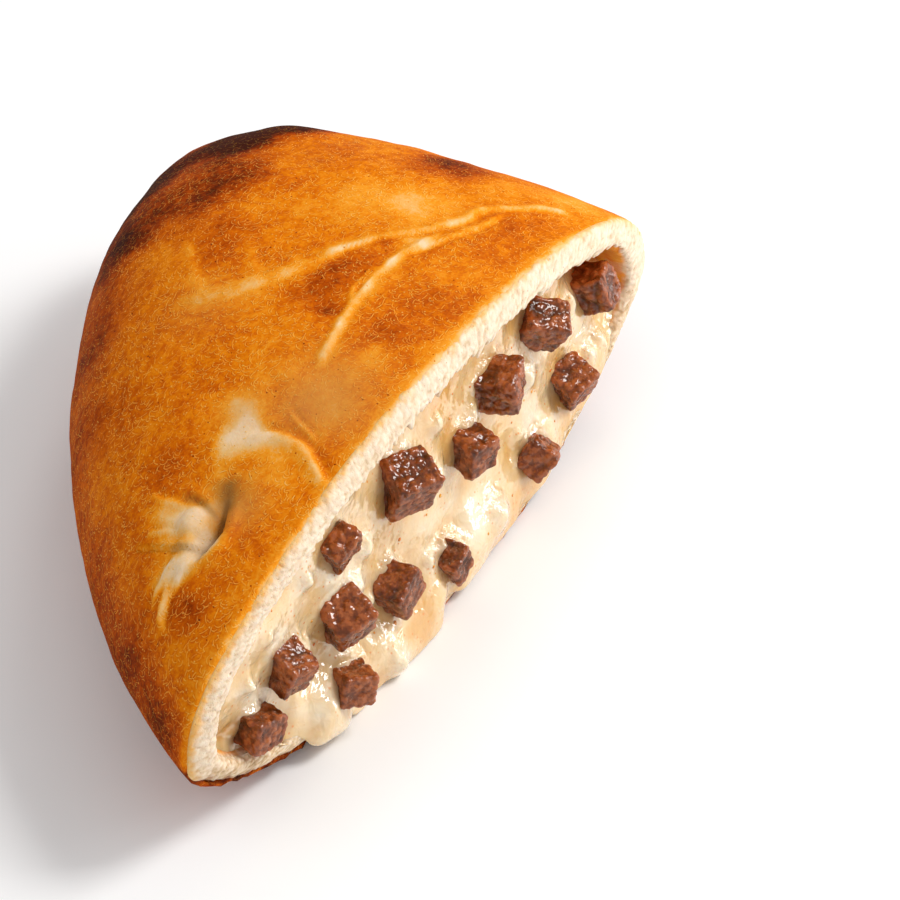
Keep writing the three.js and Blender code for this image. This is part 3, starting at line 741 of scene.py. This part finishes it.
def placed_cube(x, z, behind, edges, turns):
    """(centre, turn matrix, half edges) of a cube: turns about X, Y and Z, in that order."""
    (sx, sy, sz), (cx, cy, cz) = (f(np.radians(turns)) for f in (np.sin, np.cos))
    about_x = np.array([[1, 0, 0], [0, cx, -sx], [0, sx, cx]])
    about_y = np.array([[cy, 0, sy], [0, 1, 0], [-sy, 0, cy]])
    about_z = np.array([[cz, -sz, 0], [sz, cz, 0], [0, 0, 1]])
    centre = np.array([x, float(cut_bow(x, z)) + behind, z])
    return centre, about_x @ about_y @ about_z, np.array(edges) / 2


PLACED_CUBES = [placed_cube(*cube) for cube in CUBES]


def rim_angles(count):
    """Angles of the upper and of the lower rim of the cheese that have the same x, from the sealed
    edge to the fold, closer together at both ends."""
    u = np.linspace(0, 1, count)
    spread = mix(u, (1 - np.cos(np.pi * u)) / 2, 0.6)
    x = mix(-CHEESE["seam"], CHEESE["fold"], spread)
    fold = x >= RIDGE_X
    run = np.where(fold, (x - RIDGE_X) / (CHEESE["fold"] - RIDGE_X),
                   (RIDGE_X - x) / (CHEESE["seam"] + RIDGE_X))
    upper, lower = (
        np.arccos(np.clip(np.where(fold, 1, -1) * run ** (np.where(fold, f[0], s[0]) / 2), -1, 1))
        for f, s in ((FOLD_TOP, SEAM_TOP), (FOLD_LOW, SEAM_LOW))
    )
    return upper, -lower


def rim_point(angle, further=0.0):
    """Where the cheese meets the crumb at an angle, or so many millimetres further in."""
    edge = shell_point(CHEESE, angle, 0.0)
    recess = mix(RECESS_LOW, RECESS_TOP, np.clip(edge[..., 2] / INSIDE["top"], 0, 1))
    for x, z, radius, deep in HOLLOWS:
        recess = recess + deep * near_on_cut(edge, x, z, radius)
    recess = recess + 0.9 * lumps(edge, 6.0, 51) * ramp(edge[..., 2], 10, 30)
    return shell_point(CHEESE, angle, (np.maximum(recess, 0.3) + further) / CHEESE["depth"])


def spill_amounts(x):
    """How far over the lip the cheese has come at x, from 0 to 1, and its thickness there."""
    shares = np.stack([bell(x - at, width) for at, width, _, _ in SPILLS])
    reach = np.array([fall for _, _, fall, _ in SPILLS])[:, None] * ramp(shares, 0.05, 0.8)
    thick = np.array([hang for _, _, _, hang in SPILLS])[:, None] * ramp(shares, 0.05, 0.95)
    return np.max(reach, 0), np.linalg.norm(thick, axis=0)


def cheese_loops():
    """The smooth cheese as loops, one at each station along the cut: up the front from the lower rim,
    or from the lobe that hangs over the lip, past a spine at mid height to the upper rim, and back
    round behind. The loops of the two ends are folded flat, which closes the surface. Returns the
    points and how many rows are in front."""
    upper, lower = rim_angles(CHEESE_STATIONS)
    top_rim, low_rim = rim_point(upper), rim_point(lower)
    ends = [0, -1]
    top_rim[ends] = low_rim[ends] = (top_rim[ends] + low_rim[ends]) / 2
    spine = low_rim * [SPINE_SHARE, 0, 0] + [0, 0, SEAM_HEIGHT]

    inner, outer = shell_point(INSIDE, lower, 0.0), shell_point(OUTSIDE, lower, 0.0)
    reach, thick = spill_amounts(inner[:, 0])
    reach = reach * ramp(inner[:, 0], -66, -60)
    reach, thick = reach[:, None], (thick * ramp(reach, 0.02, 0.25))[:, None]
    down = unit(outer - inner)

    # Where the cheese's edge lies: on the pocket's wall, then over the lip and down its front.
    on_wall = shell_point(CHEESE, lower, 1.2 / CHEESE["depth"])
    share = np.clip((reach - 0.08) / 0.84, 0, 1)
    on_lip = mix(inner, outer, share) + AHEAD * (LIP_BULGE * np.sin(np.pi * share) - 0.4)
    edge = mix(on_wall, on_lip, ramp(reach, 0.0, 0.16))
    brow = edge[:, 1] - 1.05 * thick[:, 0]

    def front(rim, share):
        plain = mix(spine, rim, share)
        face = cut_bow(plain[:, 0], plain[:, 2]) + FACE_BEHIND
        plain[:, 1] = mix(face, rim[:, 1], share**3)
        return plain

    def low_front(share):
        plain = front(low_rim, share)
        hang = ramp(share, 0.3, 0.95) * ramp(reach[:, 0], 0.0, 0.3)
        plain[:, 1] = np.minimum(plain[:, 1], mix(plain[:, 1], brow, hang))
        return plain

    def lobe(forward, lower_by):
        return edge + (forward * AHEAD + lower_by * down) * thick

    keys = np.stack([
        edge - 0.8 * AHEAD, edge, lobe(0.3, 0.22), lobe(0.72, 0.3), lobe(1.0, 0.05), lobe(1.1, -0.5),
        mix(lobe(1.08, -1.1), low_front(0.94), 0.5), low_front(0.9), low_front(0.82), low_front(0.74),
        low_front(0.66), low_front(0.58), low_front(0.5), low_front(0.42),
    ])
    low = smooth_path(keys, np.concatenate([np.linspace(0, 6, 40), np.linspace(6.2, 12, 46)]))
    middle = [low_front(s) for s in np.linspace(0.5, 0, 28)[1:]]
    high = [front(top_rim, s) for s in np.linspace(0, 1, 74)[1:]]
    behind_top = [rim_point(upper, further) for further in (1.0, 4.0, 12.0)]
    behind_low = [rim_point(lower, further) for further in (12.0, 4.0, 1.0)]
    for top, under in zip(behind_top, behind_low[::-1]):
        top[ends] = under[ends] = (top[ends] + under[ends]) / 2
    core = mix(behind_top[-1], behind_low[0], 0.5)
    skin = np.concatenate([low, middle, high])
    count = len(skin)
    skin = blur(blur(skin, 4, 0, False), 12, 1, False)
    skin[-60:] = mix(skin[-60:], blur(skin[-60:], 60, 1, False), np.linspace(0, 1, 60)[:, None, None])
    return np.concatenate([skin, behind_top, core[None], behind_low]), count


def beside_cubes(points):
    """How far each point is from the nearest cube, and how much it lies above or to the right of the
    cubes near it, from -1 to 1."""
    gap = np.min([box_distance(points, cube, 1.0) for cube in PLACED_CUBES], 0)
    lee = np.zeros_like(gap)
    for centre, _, half in PLACED_CUBES:
        away = points - centre
        length = np.linalg.norm(away, axis=-1)
        near = bell(np.maximum(length - half.mean(), 0), 4.0)
        lee += near * (0.5 * away[..., 0] + 0.87 * away[..., 2]) / length
    return np.maximum(gap, 0), np.clip(lee, -1, 1)


def cheese_surface():
    """The smooth cheese moved along its normals: soft lumps and bulges, a film drawn up beside the
    cubes and a ditch under them, and fine crinkles where it is wet. rise is that height, which the
    colour follows as painted shade in hollows and painted light on bulges, a little more towards the
    sealed edge as painted light, and less low down."""
    points, count = cheese_loops()
    normals = grid_normals(points, True, False)
    if normals[count // 2, CHEESE_STATIONS // 2, 1] > 0:
        normals = -normals
    gap, lee = beside_cubes(points)

    relief = 0.9 * lumps(points, 12, 52) + 0.6 * lumps(points, 6, 53) + 0.08 * lumps(points, 3, 54)
    deep = points[..., 1] - cut_bow(points[..., 0], points[..., 2]) - FACE_BEHIND
    relief = relief * mix(0.4, 1, ramp(gap, 0, 3)) * mix(1, 0.25, ramp(deep, 0.6, 4))
    for x, z, radius, height in BULGES:
        relief += height * near_on_cut(points, x, z, radius)
    film = ramp(lee, 0.1, 0.8) * ramp(lumps(points, 3.4, 56), -0.6, 0.5)
    relief += 0.4 * np.exp(-gap / 0.7) + 1.2 * film * np.exp(-gap / 1.1)
    relief -= 0.5 * ramp(-lee, 0.1, 0.7) * np.exp(-gap / 1.6)
    wrinkled = bell(gap - 1.0, 1.3) * ramp(lee, 0.0, 0.6) + 0.35 * ramp(lumps(points, 9, 57), 0.28, 0.6)
    for x, z, radius in SHINES:
        relief += 0.95 * radius * near_on_cut(points, x, z - radius, 1.25 * radius)
        wrinkled = wrinkled + near_on_cut(points, x, z, 1.6 * radius)
    wet = np.clip(wrinkled, 0, 1) * ramp(-deep, -4, -1.5)
    crinkles = lumps(points * [1, 1, 0.7], 1.7, 55) + 0.35 * lumps(points, 0.9, 58)
    relief += 0.4 * wet * crinkles
    *place, drop = DENT
    relief -= drop * near_on_cut(points, *place)

    seen = np.zeros(len(points))
    seen[:count] = 1
    seen[:14] = np.linspace(0, 1, 14)
    seen[count - 8:count] = np.linspace(1, 0, 8)
    from_end = np.minimum(np.arange(CHEESE_STATIONS), np.arange(CHEESE_STATIONS)[::-1])
    points = points + normals * (relief * seen[:, None] * ramp(from_end, 0, 12))[..., None]
    points[..., 2] = np.maximum(points[..., 2], 0.3)
    # rise: the height for the colour, with painted light towards the sealed edge and less low down
    rise = relief + 0.5 * ramp(-points[..., 0], 0, 40) - 0.35 * ramp(-points[..., 2], -13, -4)
    oily = near_on_cut(points, *OILY_HOLLOW) * ramp(points[..., 1], 1.5, 5)
    oily += 0.4 * near_on_cut(points, *OILY_CORNER)
    return points, {"gap": np.clip(gap, 0, 9), "rise": rise, "wet": wet, "oily": oily}


# ---- Meat cubes ----------------------------------------------------------------------------------

CUBE_STEPS = 38
CUBE_ROUND = 0.95


def cube_surface(index, cube):
    """A cooked dice: six square grids wrapped on a box with round edges, with lumps like rounded
    grains, the gaps between them, uneven faces and finer grain on top."""
    centre, turn, half = cube
    u = np.linspace(-1, 1, CUBE_STEPS)
    a, b = np.meshgrid(u, u, indexing="ij")
    grids = []
    for axis in range(3):
        for side in (-1.0, 1.0):
            flat = np.empty(a.shape + (3,))
            flat[..., axis] = side
            flat[..., (axis + 1) % 3] = a * side
            flat[..., (axis + 2) % 3] = b
            box = flat * half
            core = np.clip(box, -(half - CUBE_ROUND), half - CUBE_ROUND)
            facing = unit(box - core)
            local = core + facing * CUBE_ROUND
            spot = local + 31.0 * index
            edge = np.sort(np.abs(box) / half, axis=-1)[..., 1]
            bent = spot + 0.5 * jitter(spot, 2.2, 61)
            grain = nearest_grain(bent, 1.9, 64)
            fine = nearest_grain(bent, 0.9, 67)
            relief = 0.65 * (0.42 - grain) + 0.2 * (0.4 - fine) + 0.3 * lumps(spot, 4.5, 65)
            relief += 0.1 * lumps(spot, 1.1, 66) + 0.1
            local = local + facing * (relief - 0.2 * (1 - edge**2))[..., None]
            grids.append((local @ turn.T + centre, {"rise": relief, "edge": ramp(edge, 0.55, 1.0)}))
    return grids


# ---- Oil beads -----------------------------------------------------------------------------------

BEADS = 90
# The rows and columns of the cheese's grid that hold beads, and how far they stay from the cubes.
BEAD_ROWS, BEAD_COLUMNS = (60, 170), (30, 370)
BEAD_GAP = 0.6


def bead_grids(surface, gap):
    """Small beads of orange oil on the cheese: flattened balls of 10 by 4 faces, half sunk at places
    of the cheese's own grid that a seeded draw picks."""
    draw = np.random.default_rng(7)
    normals = grid_normals(surface)
    if normals[100, 200, 1] > 0:
        normals = -normals
    rows, columns = draw.integers(*BEAD_ROWS, BEADS * 3), draw.integers(*BEAD_COLUMNS, BEADS * 3)
    free = gap[rows, columns] > BEAD_GAP
    rows, columns = rows[free][:BEADS], columns[free][:BEADS]
    radii = 0.12 + 0.3 * draw.random(len(rows)) ** 3
    rings = np.linspace(0, 1, 5)
    turns = np.linspace(0, 2 * np.pi, 11)
    grids = []
    for row, column, radius in zip(rows, columns, radii):
        up = normals[row, column]
        side = unit(np.cross(up, [0.0, 0.0, 1.0]))
        across = np.cross(up, side)
        reach = radius * np.sin(rings * np.pi)[:, None, None]
        level = 0.45 * radius * np.cos(rings * np.pi)[:, None, None]
        points = surface[row, column] + up * level + reach * (
            side * np.cos(turns)[None, :, None] + across * np.sin(turns)[None, :, None])
        grids.append((points, {"rise": np.zeros(points.shape[:2])}))
    return grids


# ---- Materials -----------------------------------------------------------------------------------


class Finish:
    """A material and short ways to add nodes to it. Sizes of patterns are in millimetres."""

    def __init__(self, name):
        self.material = bpy.data.materials.new(name)
        self.material.use_nodes = True
        self.tree = self.material.node_tree
        self.tree.nodes.clear()
        place = self.node("ShaderNodeTexCoord").outputs["Object"]
        scaled = self.node("ShaderNodeVectorMath", {0: place, "Scale": 1000.0}, operation="SCALE")
        self.place = scaled.outputs[0]

    def node(self, kind, inputs=None, **settings):
        made = self.tree.nodes.new(kind)
        for label, value in settings.items():
            setattr(made, label, value)
        for label, value in (inputs or {}).items():
            if isinstance(value, bpy.types.NodeSocket):
                self.tree.links.new(value, made.inputs[label])
            else:
                made.inputs[label].default_value = value
        return made

    def attribute(self, name):
        return self.node("ShaderNodeAttribute", attribute_name=name).outputs["Fac"]

    def noise(self, size, detail=2.0, rough=0.5, twist=0.0, place=None):
        inputs = {"Vector": place or self.place, "Scale": 1 / size, "Detail": detail,
                  "Roughness": rough, "Distortion": twist}
        return self.node("ShaderNodeTexNoise", inputs).outputs["Fac"]

    def cells(self, size, place=None):
        inputs = {"Vector": place or self.place, "Scale": 1 / size}
        return self.node("ShaderNodeTexVoronoi", inputs).outputs["Distance"]

    def dots(self, size, inner, outer, place=None):
        """1 on dots, one at most to a cell of that size, with soft edges between two radii in cells."""
        return self.span(self.cells(size, place), inner, outer, 1.0, 0.0)

    def number(self, operation, *values):
        return self.node("ShaderNodeMath", dict(enumerate(values)), operation=operation).outputs[0]

    def add(self, *values):
        return self.number("ADD", *values)

    def less(self, *values):
        return self.number("SUBTRACT", *values)

    def times(self, *values):
        return self.number("MULTIPLY", *values)

    def span(self, value, low, high, to_low=0.0, to_high=1.0):
        inputs = {"Value": value, "From Min": low, "From Max": high, "To Min": to_low, "To Max": to_high}
        return self.node("ShaderNodeMapRange", inputs, interpolation_type="SMOOTHSTEP").outputs["Result"]

    def vector(self, operation, *values):
        made = self.node("ShaderNodeVectorMath", dict(enumerate(values)), operation=operation)
        return made.outputs["Value" if operation == "DOT_PRODUCT" else "Vector"]

    def strokes(self, size, length, width, by):
        """Short curved strokes that lie on the surface: one at most to a cell of that size, each
        turned its own way across the surface's normal and bent by the square of the way along it.
        1 on a stroke and below 0 in the shade along its sides."""
        place = self.vector("ADD", self.place, by)
        cell = self.node("ShaderNodeTexVoronoi", {"Vector": place, "Scale": 1 / size})
        chance = self.vector("SUBTRACT", cell.outputs["Color"], (0.5, 0.5, 0.5))
        parts = self.node("ShaderNodeSeparateXYZ", {0: chance}).outputs
        offset = self.vector("SUBTRACT", place, cell.outputs["Position"])
        normal = self.node("ShaderNodeNewGeometry").outputs["Normal"]
        side = self.vector("NORMALIZE", self.vector("CROSS_PRODUCT", normal, chance))
        along = self.vector("DOT_PRODUCT", offset, side)
        aside = self.vector("DOT_PRODUCT", offset, self.vector("CROSS_PRODUCT", normal, side))
        bend = self.times(self.times(along, along), self.times(parts[0], 2.4 / length))
        aside = self.number("ABSOLUTE", self.add(aside, bend))
        line = self.less(self.span(aside, 0.3 * width, width, 1.0, 0.0),
                         self.span(aside, 1.1 * width, 2.0 * width, 0.35, 0.0))
        ends = self.span(self.number("ABSOLUTE", along), 0.8 * length, length, 1.0, 0.0)
        return self.times(self.times(line, ends), self.span(parts[2], -0.2, -0.1))

    def ramp(self, value, stops):
        made = self.node("ShaderNodeValToRGB", {"Fac": value})
        stop_list = made.color_ramp.elements
        while len(stop_list) < len(stops):
            stop_list.new(0.5)
        for stop, (position, colour) in zip(stop_list, stops):
            stop.position = position
            stop.color = (*colour, 1.0)
        return made.outputs["Color"]

    def mottled(self, size, *stops):
        """Patches of these colours, by noise of that size."""
        return self.ramp(self.noise(size, 3.0), stops)

    def blend(self, factor, a, b):
        """From colour a to colour b. A plain colour is given as red, green and blue."""
        a, b = ((*c, 1.0) if isinstance(c, tuple) else c for c in (a, b))
        return self.node("ShaderNodeMix", {0: factor, 6: a, 7: b}, data_type="RGBA").outputs[2]

    def bump(self, height, depth):
        inputs = {"Height": height, "Distance": depth / 1000, "Strength": 1.0}
        return self.node("ShaderNodeBump", inputs).outputs["Normal"]

    def finish(self, **inputs):
        shader = self.node("ShaderNodeBsdfPrincipled", {k.replace("_", " "): v for k, v in inputs.items()})
        self.node("ShaderNodeOutputMaterial", {"Surface": shader.outputs[0]})
        return self.material


# Crust colours from cream dough to scorched, by how far it baked.
BAKED = [
    (0.0, (0.84, 0.62, 0.4)), (0.14, (0.81, 0.47, 0.16)), (0.3, (0.83, 0.31, 0.018)),
    (0.45, (0.74, 0.198, 0.002)), (0.58, (0.57, 0.107, 0.0008)), (0.72, (0.37, 0.052, 0.0005)),
    (0.86, (0.16, 0.02, 0.001)), (1.0, (0.05, 0.008, 0.002)),
]


def crust_finish():
    """Baked dough: the browning and finer mottling read off the baked colours, short fibres and tiny
    blisters with painted highlights in golden colour and painted shade along the fibres' sides, pin
    holes, painted shade in the deep folds, under a thin, soft glaze."""
    f = Finish("baked_crust")
    brown, dull = f.attribute("browning"), f.attribute("dull")
    mottle = f.add(f.span(f.noise(1.7, 3.0), 0.25, 0.75, -0.07, 0.07),
                   f.span(f.noise(0.5, 2.0), 0.25, 0.75, -0.05, 0.05))
    fibre_sheen = f.add(f.strokes(1.4, 0.8, 0.19, (0.0, 0.0, 0.0)), f.strokes(1.7, 0.95, 0.17, (7.3, 2.1, 5.9)))
    fibre_sheen = f.times(fibre_sheen, f.span(f.noise(9.0, 2.0), 0.3, 0.6, 0.4, 1.0))
    fibre_sheen = f.times(fibre_sheen, f.span(dull, 0.0, 1.0, 1.0, 0.6))
    fibre_sheen = f.times(fibre_sheen, f.span(brown, 0.1, 0.4, 0.2, 1.0))
    hole = f.times(f.dots(1.9, 0.05, 0.11), f.span(f.noise(3.0), 0.45, 0.55))
    blister_glint = f.dots(1.15, 0.1, 0.2, f.vector("ADD", f.place, (3.3, 1.7, 9.1)))

    baked = f.add(brown, f.times(mottle, f.span(brown, 0.0, 0.4, 0.35, 1.0)))
    # The fibres lighten the browning as a painted highlight, and darken it along their sides as painted
    # shade.
    baked = f.less(f.add(baked, 0.03), f.times(fibre_sheen, 0.13))
    colour = f.ramp(f.add(baked, f.times(hole, 0.32)), BAKED)
    # light: a painted highlight in golden colour on the fibres and blisters, weaker on dark crust
    light = f.number("MAXIMUM", f.times(fibre_sheen, 0.45), f.times(blister_glint, 0.6))
    light = f.times(light, f.span(brown, 0.6, 0.95, 1.0, 0.35))
    light = f.number("MINIMUM", f.number("MAXIMUM", light, 0.0), 0.8)
    colour = f.blend(light, colour, (0.95, 0.5, 0.1))
    colour = f.blend(f.times(dull, 0.6), colour, (0.53, 0.22, 0.052))
    # Painted shade: dark brown in the deep folds of the pinched hole
    colour = f.blend(f.attribute("shade"), colour, (0.2, 0.09, 0.026))

    height = f.add(f.times(fibre_sheen, 0.55), f.times(blister_glint, 0.7))
    height = f.add(f.less(height, f.times(hole, 1.2)), f.noise(0.7, 3.0))
    uneven = f.bump(height, 0.1)
    return f.finish(Base_Color=colour, Roughness=0.5, Normal=uneven, Specular_IOR_Level=0.0,
                    Coat_Weight=0.065, Coat_Roughness=0.3, Coat_Normal=uneven, Subsurface_Weight=0.05,
                    Subsurface_Radius=(1.0, 0.35, 0.1), Subsurface_Scale=0.0006)


# Crumb colours from its ridges down to its pores, darker in the pores as painted shade.
CRUMB = [(0.0, (0.88, 0.74, 0.58)), (0.35, (0.82, 0.65, 0.47)), (0.7, (0.64, 0.45, 0.26)),
         (1.0, (0.42, 0.24, 0.1))]


def crumb_finish():
    """Open bread crumb: cream, darker and yellower down in its pores as painted shade, toasted on the
    lower lip, golden where it comes from under the crust, and amber with oil inside the pocket."""
    f = Finish("torn_crumb")
    colour = f.ramp(f.add(f.attribute("holes"), f.span(f.noise(0.8, 3.0), 0.3, 0.7, -0.12, 0.12)), CRUMB)
    toast = f.mottled(1.2, (0.35, (0.5, 0.2, 0.04)), (0.6, (0.2, 0.05, 0.01)))
    colour = f.blend(f.attribute("toast"), colour, toast)
    oily = f.times(f.attribute("wall"), f.span(f.noise(5.0, 2.0), 0.35, 0.6, 0.55, 1.0))
    oil = f.mottled(4.5, (0.35, (0.95, 0.42, 0.04)), (0.65, (0.8, 0.17, 0.006)))
    colour = f.blend(f.number("MINIMUM", oily, 1.0), colour, oil)
    golden = f.mottled(1.0, (0.35, (0.82, 0.5, 0.2)), (0.65, (0.82, 0.4, 0.08)))
    colour = f.blend(f.attribute("rim"), colour, golden)
    colour = f.blend(f.times(f.dots(1.5, 0.06, 0.13), 0.6), colour, (0.45, 0.2, 0.06))
    height = f.less(f.noise(0.5, 4.0, 0.6), f.times(f.dots(0.5, 0.1, 0.4), 0.5))
    return f.finish(Base_Color=colour, Roughness=0.55, Normal=f.bump(height, 0.09),
                    Specular_IOR_Level=0.3, Subsurface_Weight=0.5,
                    Subsurface_Radius=(1.0, 0.7, 0.45), Subsurface_Scale=0.0016)


# Cheese colours from its hollows up to its bulges: darker and yellower in the hollows, partly painted
# shade, and lighter on the bulges, partly painted light.
CREAMY = [(0.0, (0.78, 0.43, 0.125)), (0.35, (0.825, 0.55, 0.245)), (0.7, (0.86, 0.635, 0.36)),
          (1.0, (0.885, 0.725, 0.5))]


def cheese_finish():
    """Melted cheese: creamy, a little yellower and darker in its hollows as painted shade, and brown
    against the cubes as painted contact shade with meat juice, with streaks, specks and pools of orange
    oil. Its wet film is smoother than the cheese under it, and crinkled in the wet places."""
    f = Finish("melted_cheese")
    wet = f.attribute("wet")
    # level: the cheese's height as colour, painted shade in hollows and painted light on bulges
    level = f.add(f.span(f.attribute("rise"), -1.2, 2.0), f.span(f.noise(6.0, 3.0), 0.3, 0.7, -0.25, 0.25))
    stretched = f.vector("MULTIPLY", f.place, (0.55, 1.0, 1.3))
    streak = f.span(f.noise(2.4, 3.0, twist=1.6, place=stretched), 0.64, 0.76)
    streak = f.times(streak, f.span(f.noise(8.0), 0.35, 0.5))
    speck = f.times(f.dots(1.6, 0.09, 0.22), f.span(f.noise(7.0), 0.4, 0.5))
    colour = f.blend(f.times(streak, 0.5), f.ramp(level, CREAMY), (0.86, 0.4, 0.07))
    colour = f.blend(f.times(speck, 0.75), colour, (0.8, 0.26, 0.03))
    # Painted contact shade in brown where the cheese meets the cubes, with some meat juice
    colour = f.blend(f.span(f.attribute("gap"), 0.0, 1.3, 0.5, 0.0), colour, (0.5, 0.24, 0.07))
    pool = f.mottled(4.0, (0.4, (0.75, 0.3, 0.05)), (0.6, (0.6, 0.13, 0.01)))
    colour = f.blend(f.attribute("oily"), colour, pool)

    crinkle = f.times(wet, f.noise(0.8, 3.0, twist=0.5))
    height = f.add(f.noise(2.6, 2.0, twist=0.6), f.times(crinkle, 0.7))
    height = f.add(height, f.times(f.noise(0.8, 2.0), 0.08))
    film = f.add(f.noise(2.4, 1.0, twist=0.4), f.times(wet, f.noise(1.1, 1.0, twist=0.4)))
    return f.finish(Base_Color=colour, Roughness=f.span(f.noise(5.0), 0.3, 0.7, 0.2, 0.34),
                    Normal=f.bump(height, 0.3), Specular_IOR_Level=0.3, Coat_Weight=1.0,
                    Coat_IOR=1.95, Coat_Roughness=0.05, Coat_Normal=f.bump(film, 0.4),
                    Subsurface_Weight=0.45, Subsurface_Radius=(1.0, 0.75, 0.42), Subsurface_Scale=0.0025)


# Meat colours from the gaps between its grains up to the grains, darker in the gaps, partly painted shade.
MEATY = [(0.0, (0.07, 0.016, 0.003)), (0.4, (0.14, 0.032, 0.006)), (0.75, (0.22, 0.05, 0.01)),
         (1.0, (0.37, 0.1, 0.025))]


def meat_finish():
    """Cooked meat: dark between its grains, partly painted shade, and lighter red-brown on them,
    lighter red-brown on its edges, with grey fatty threads. Its wet film is smoother than the meat under
    it."""
    f = Finish("cooked_meat")
    rough = f.span(f.noise(1.1, 4.0, 0.6), 0.3, 0.7, -0.3, 0.3)
    # The meat's height as colour: dark down between the grains, partly painted shade
    colour = f.ramp(f.add(f.span(f.attribute("rise"), -0.5, 0.35), rough), MEATY)
    edge = f.times(f.attribute("edge"), f.span(f.noise(2.2), 0.4, 0.65, 0.0, 0.6))
    colour = f.blend(edge, colour, (0.42, 0.1, 0.022))
    thread = f.number("ABSOLUTE", f.less(f.noise(2.2, 2.0, twist=0.8), 0.5))
    thread = f.times(f.span(thread, 0.0, 0.025, 1.0, 0.0), f.span(f.noise(3.0), 0.5, 0.62, 0.0, 0.5))
    colour = f.blend(thread, colour, (0.33, 0.16, 0.085))
    height = f.add(f.noise(0.9, 4.0, 0.6), f.times(f.cells(0.8), 0.6))
    film = f.bump(f.noise(1.4, 1.0), 0.34)
    return f.finish(Base_Color=colour, Roughness=0.5, Normal=f.bump(height, 0.3), Specular_IOR_Level=0.0,
                    Coat_Weight=0.65, Coat_IOR=1.65, Coat_Roughness=0.06, Coat_Normal=film,
                    Subsurface_Weight=0.08, Subsurface_Radius=(1.0, 0.3, 0.15), Subsurface_Scale=0.001)


def oil_finish():
    """Orange oil: clear enough to look deep, and wet."""
    f = Finish("orange_oil")
    colour = f.ramp(f.noise(3.0), [(0.35, (0.85, 0.38, 0.05)), (0.65, (0.72, 0.16, 0.01))])
    return f.finish(Base_Color=colour, Roughness=0.1, Specular_IOR_Level=0.6, Subsurface_Weight=0.3,
                    Subsurface_Radius=(1.0, 0.5, 0.1), Subsurface_Scale=0.0005)


def floor_finish():
    """A plain pale board, with a trace of unevenness."""
    f = Finish("pale_floor")
    colour = f.mottled(40.0, (0.3, (0.96, 0.96, 0.96)), (0.7, (0.98, 0.98, 0.98)))
    return f.finish(Base_Color=colour, Roughness=0.8, Specular_IOR_Level=0.2)


# ---- Pieces --------------------------------------------------------------------------------------

crust_points, crust_values = crust_surface()
make_piece("baked_crust", [(crust_points, crust_values)], crust_finish(),
           ["crust"], (False, True))
make_piece("torn_crumb", [crumb_surface()], crumb_finish(), (), (True, True))

cheese_points, cheese_values = cheese_surface()
make_piece("melted_cheese", [(cheese_points, cheese_values)], cheese_finish(),
           ["cheese_filling"], (True, False))

meat = meat_finish()
for index, cube in enumerate(PLACED_CUBES, 1):
    make_piece(f"meat_dice_{index:02d}", cube_surface(index, cube), meat,
               [f"meat_cube_{index:02d}"])

make_piece("oil_beads", bead_grids(cheese_points, cheese_values["gap"]), oil_finish())

# ---- Floor, light and camera ---------------------------------------------------------------------

# The photo's camera, from a fit to the object's outline, with its lens's length in the photo's pixels.
# The lights stand at one distance and face a point a little above the floor.
PHOTO_WIDTH, LENS_PIXELS = 900, 4344
VIEW_TURN = math.radians(-59)
VIEW_HEIGHT = math.radians(42)
VIEW_DISTANCE = 0.8
VIEW_SENSOR = 36
VIEW_LENS = VIEW_SENSOR * LENS_PIXELS / PHOTO_WIDTH
VIEW_TARGET = Vector((np.array([14.2, 4.7, 21.2]) - ORIGIN) / 1000)
LIGHT_DISTANCE = 0.9
LIGHT_TARGET = Vector((0, 0, 0.02))
FLOOR_HALF = 3.0
SKY_STRENGTH = 0.5
WHITE = (1.0, 1.0, 1.0)


def direction(turn, height):
    """The way from the object to something at that turn round it and height above the horizon."""
    level = math.cos(height)
    return Vector((math.sin(turn) * level, -math.cos(turn) * level, math.sin(height)))


def add_light(name, turn, height, width, tall, power, colour=WHITE):
    """A soft light, so wide and tall, at a turn and height in degrees, that faces the object."""
    lamp = bpy.data.lights.new(name, "AREA")
    lamp.shape = "RECTANGLE"
    lamp.size, lamp.size_y = width, tall
    lamp.energy = power
    lamp.color = colour
    light = bpy.data.objects.new(name, lamp)
    bpy.context.scene.collection.objects.link(light)
    way = direction(math.radians(turn), math.radians(height))
    light.location = way * LIGHT_DISTANCE + LIGHT_TARGET
    light.rotation_mode = "QUATERNION"
    light.rotation_quaternion = (-way).to_track_quat("-Z", "Y")


def add_floor():
    """A large square floor at z = 0."""
    mesh = bpy.data.meshes.new("floor")
    h = FLOOR_HALF
    mesh.from_pydata([(-h, -h, 0), (h, -h, 0), (h, h, 0), (-h, h, 0)], [], [(0, 1, 2, 3)])
    mesh.materials.append(floor_finish())
    floor = bpy.data.objects.new("floor", mesh)
    bpy.context.scene.collection.objects.link(floor)


add_floor()
add_light("key_light", 41, 50, 0.28, 0.28, 4.4, (1.0, 0.99, 0.97))
add_light("front_light", 45, 22, 0.5, 0.12, 1.4)
add_light("low_light", 46, 5, 0.5, 0.12, 1.2)
add_light("side_light", -120, 50, 0.5, 0.5, 1.0)
add_light("glint_light", 105, 38, 0.2, 0.2, 0.7)

world = bpy.data.worlds.new("studio")
world.use_nodes = True
background = world.node_tree.nodes["Background"]
background.inputs["Color"].default_value = (*WHITE, 1.0)
background.inputs["Strength"].default_value = SKY_STRENGTH
bpy.context.scene.world = world

lens = bpy.data.cameras.new("camera")
lens.lens = VIEW_LENS
lens.sensor_width = VIEW_SENSOR
lens.clip_start, lens.clip_end = 0.01, 20
camera = bpy.data.objects.new("camera", lens)
bpy.context.scene.collection.objects.link(camera)
back = direction(VIEW_TURN, VIEW_HEIGHT)
camera.location = VIEW_TARGET + back * VIEW_DISTANCE
camera.rotation_mode = "QUATERNION"
camera.rotation_quaternion = (-back).to_track_quat("-Z", "Y")
bpy.context.scene.camera = camera
bpy.context.scene.view_settings.view_transform = "Standard"
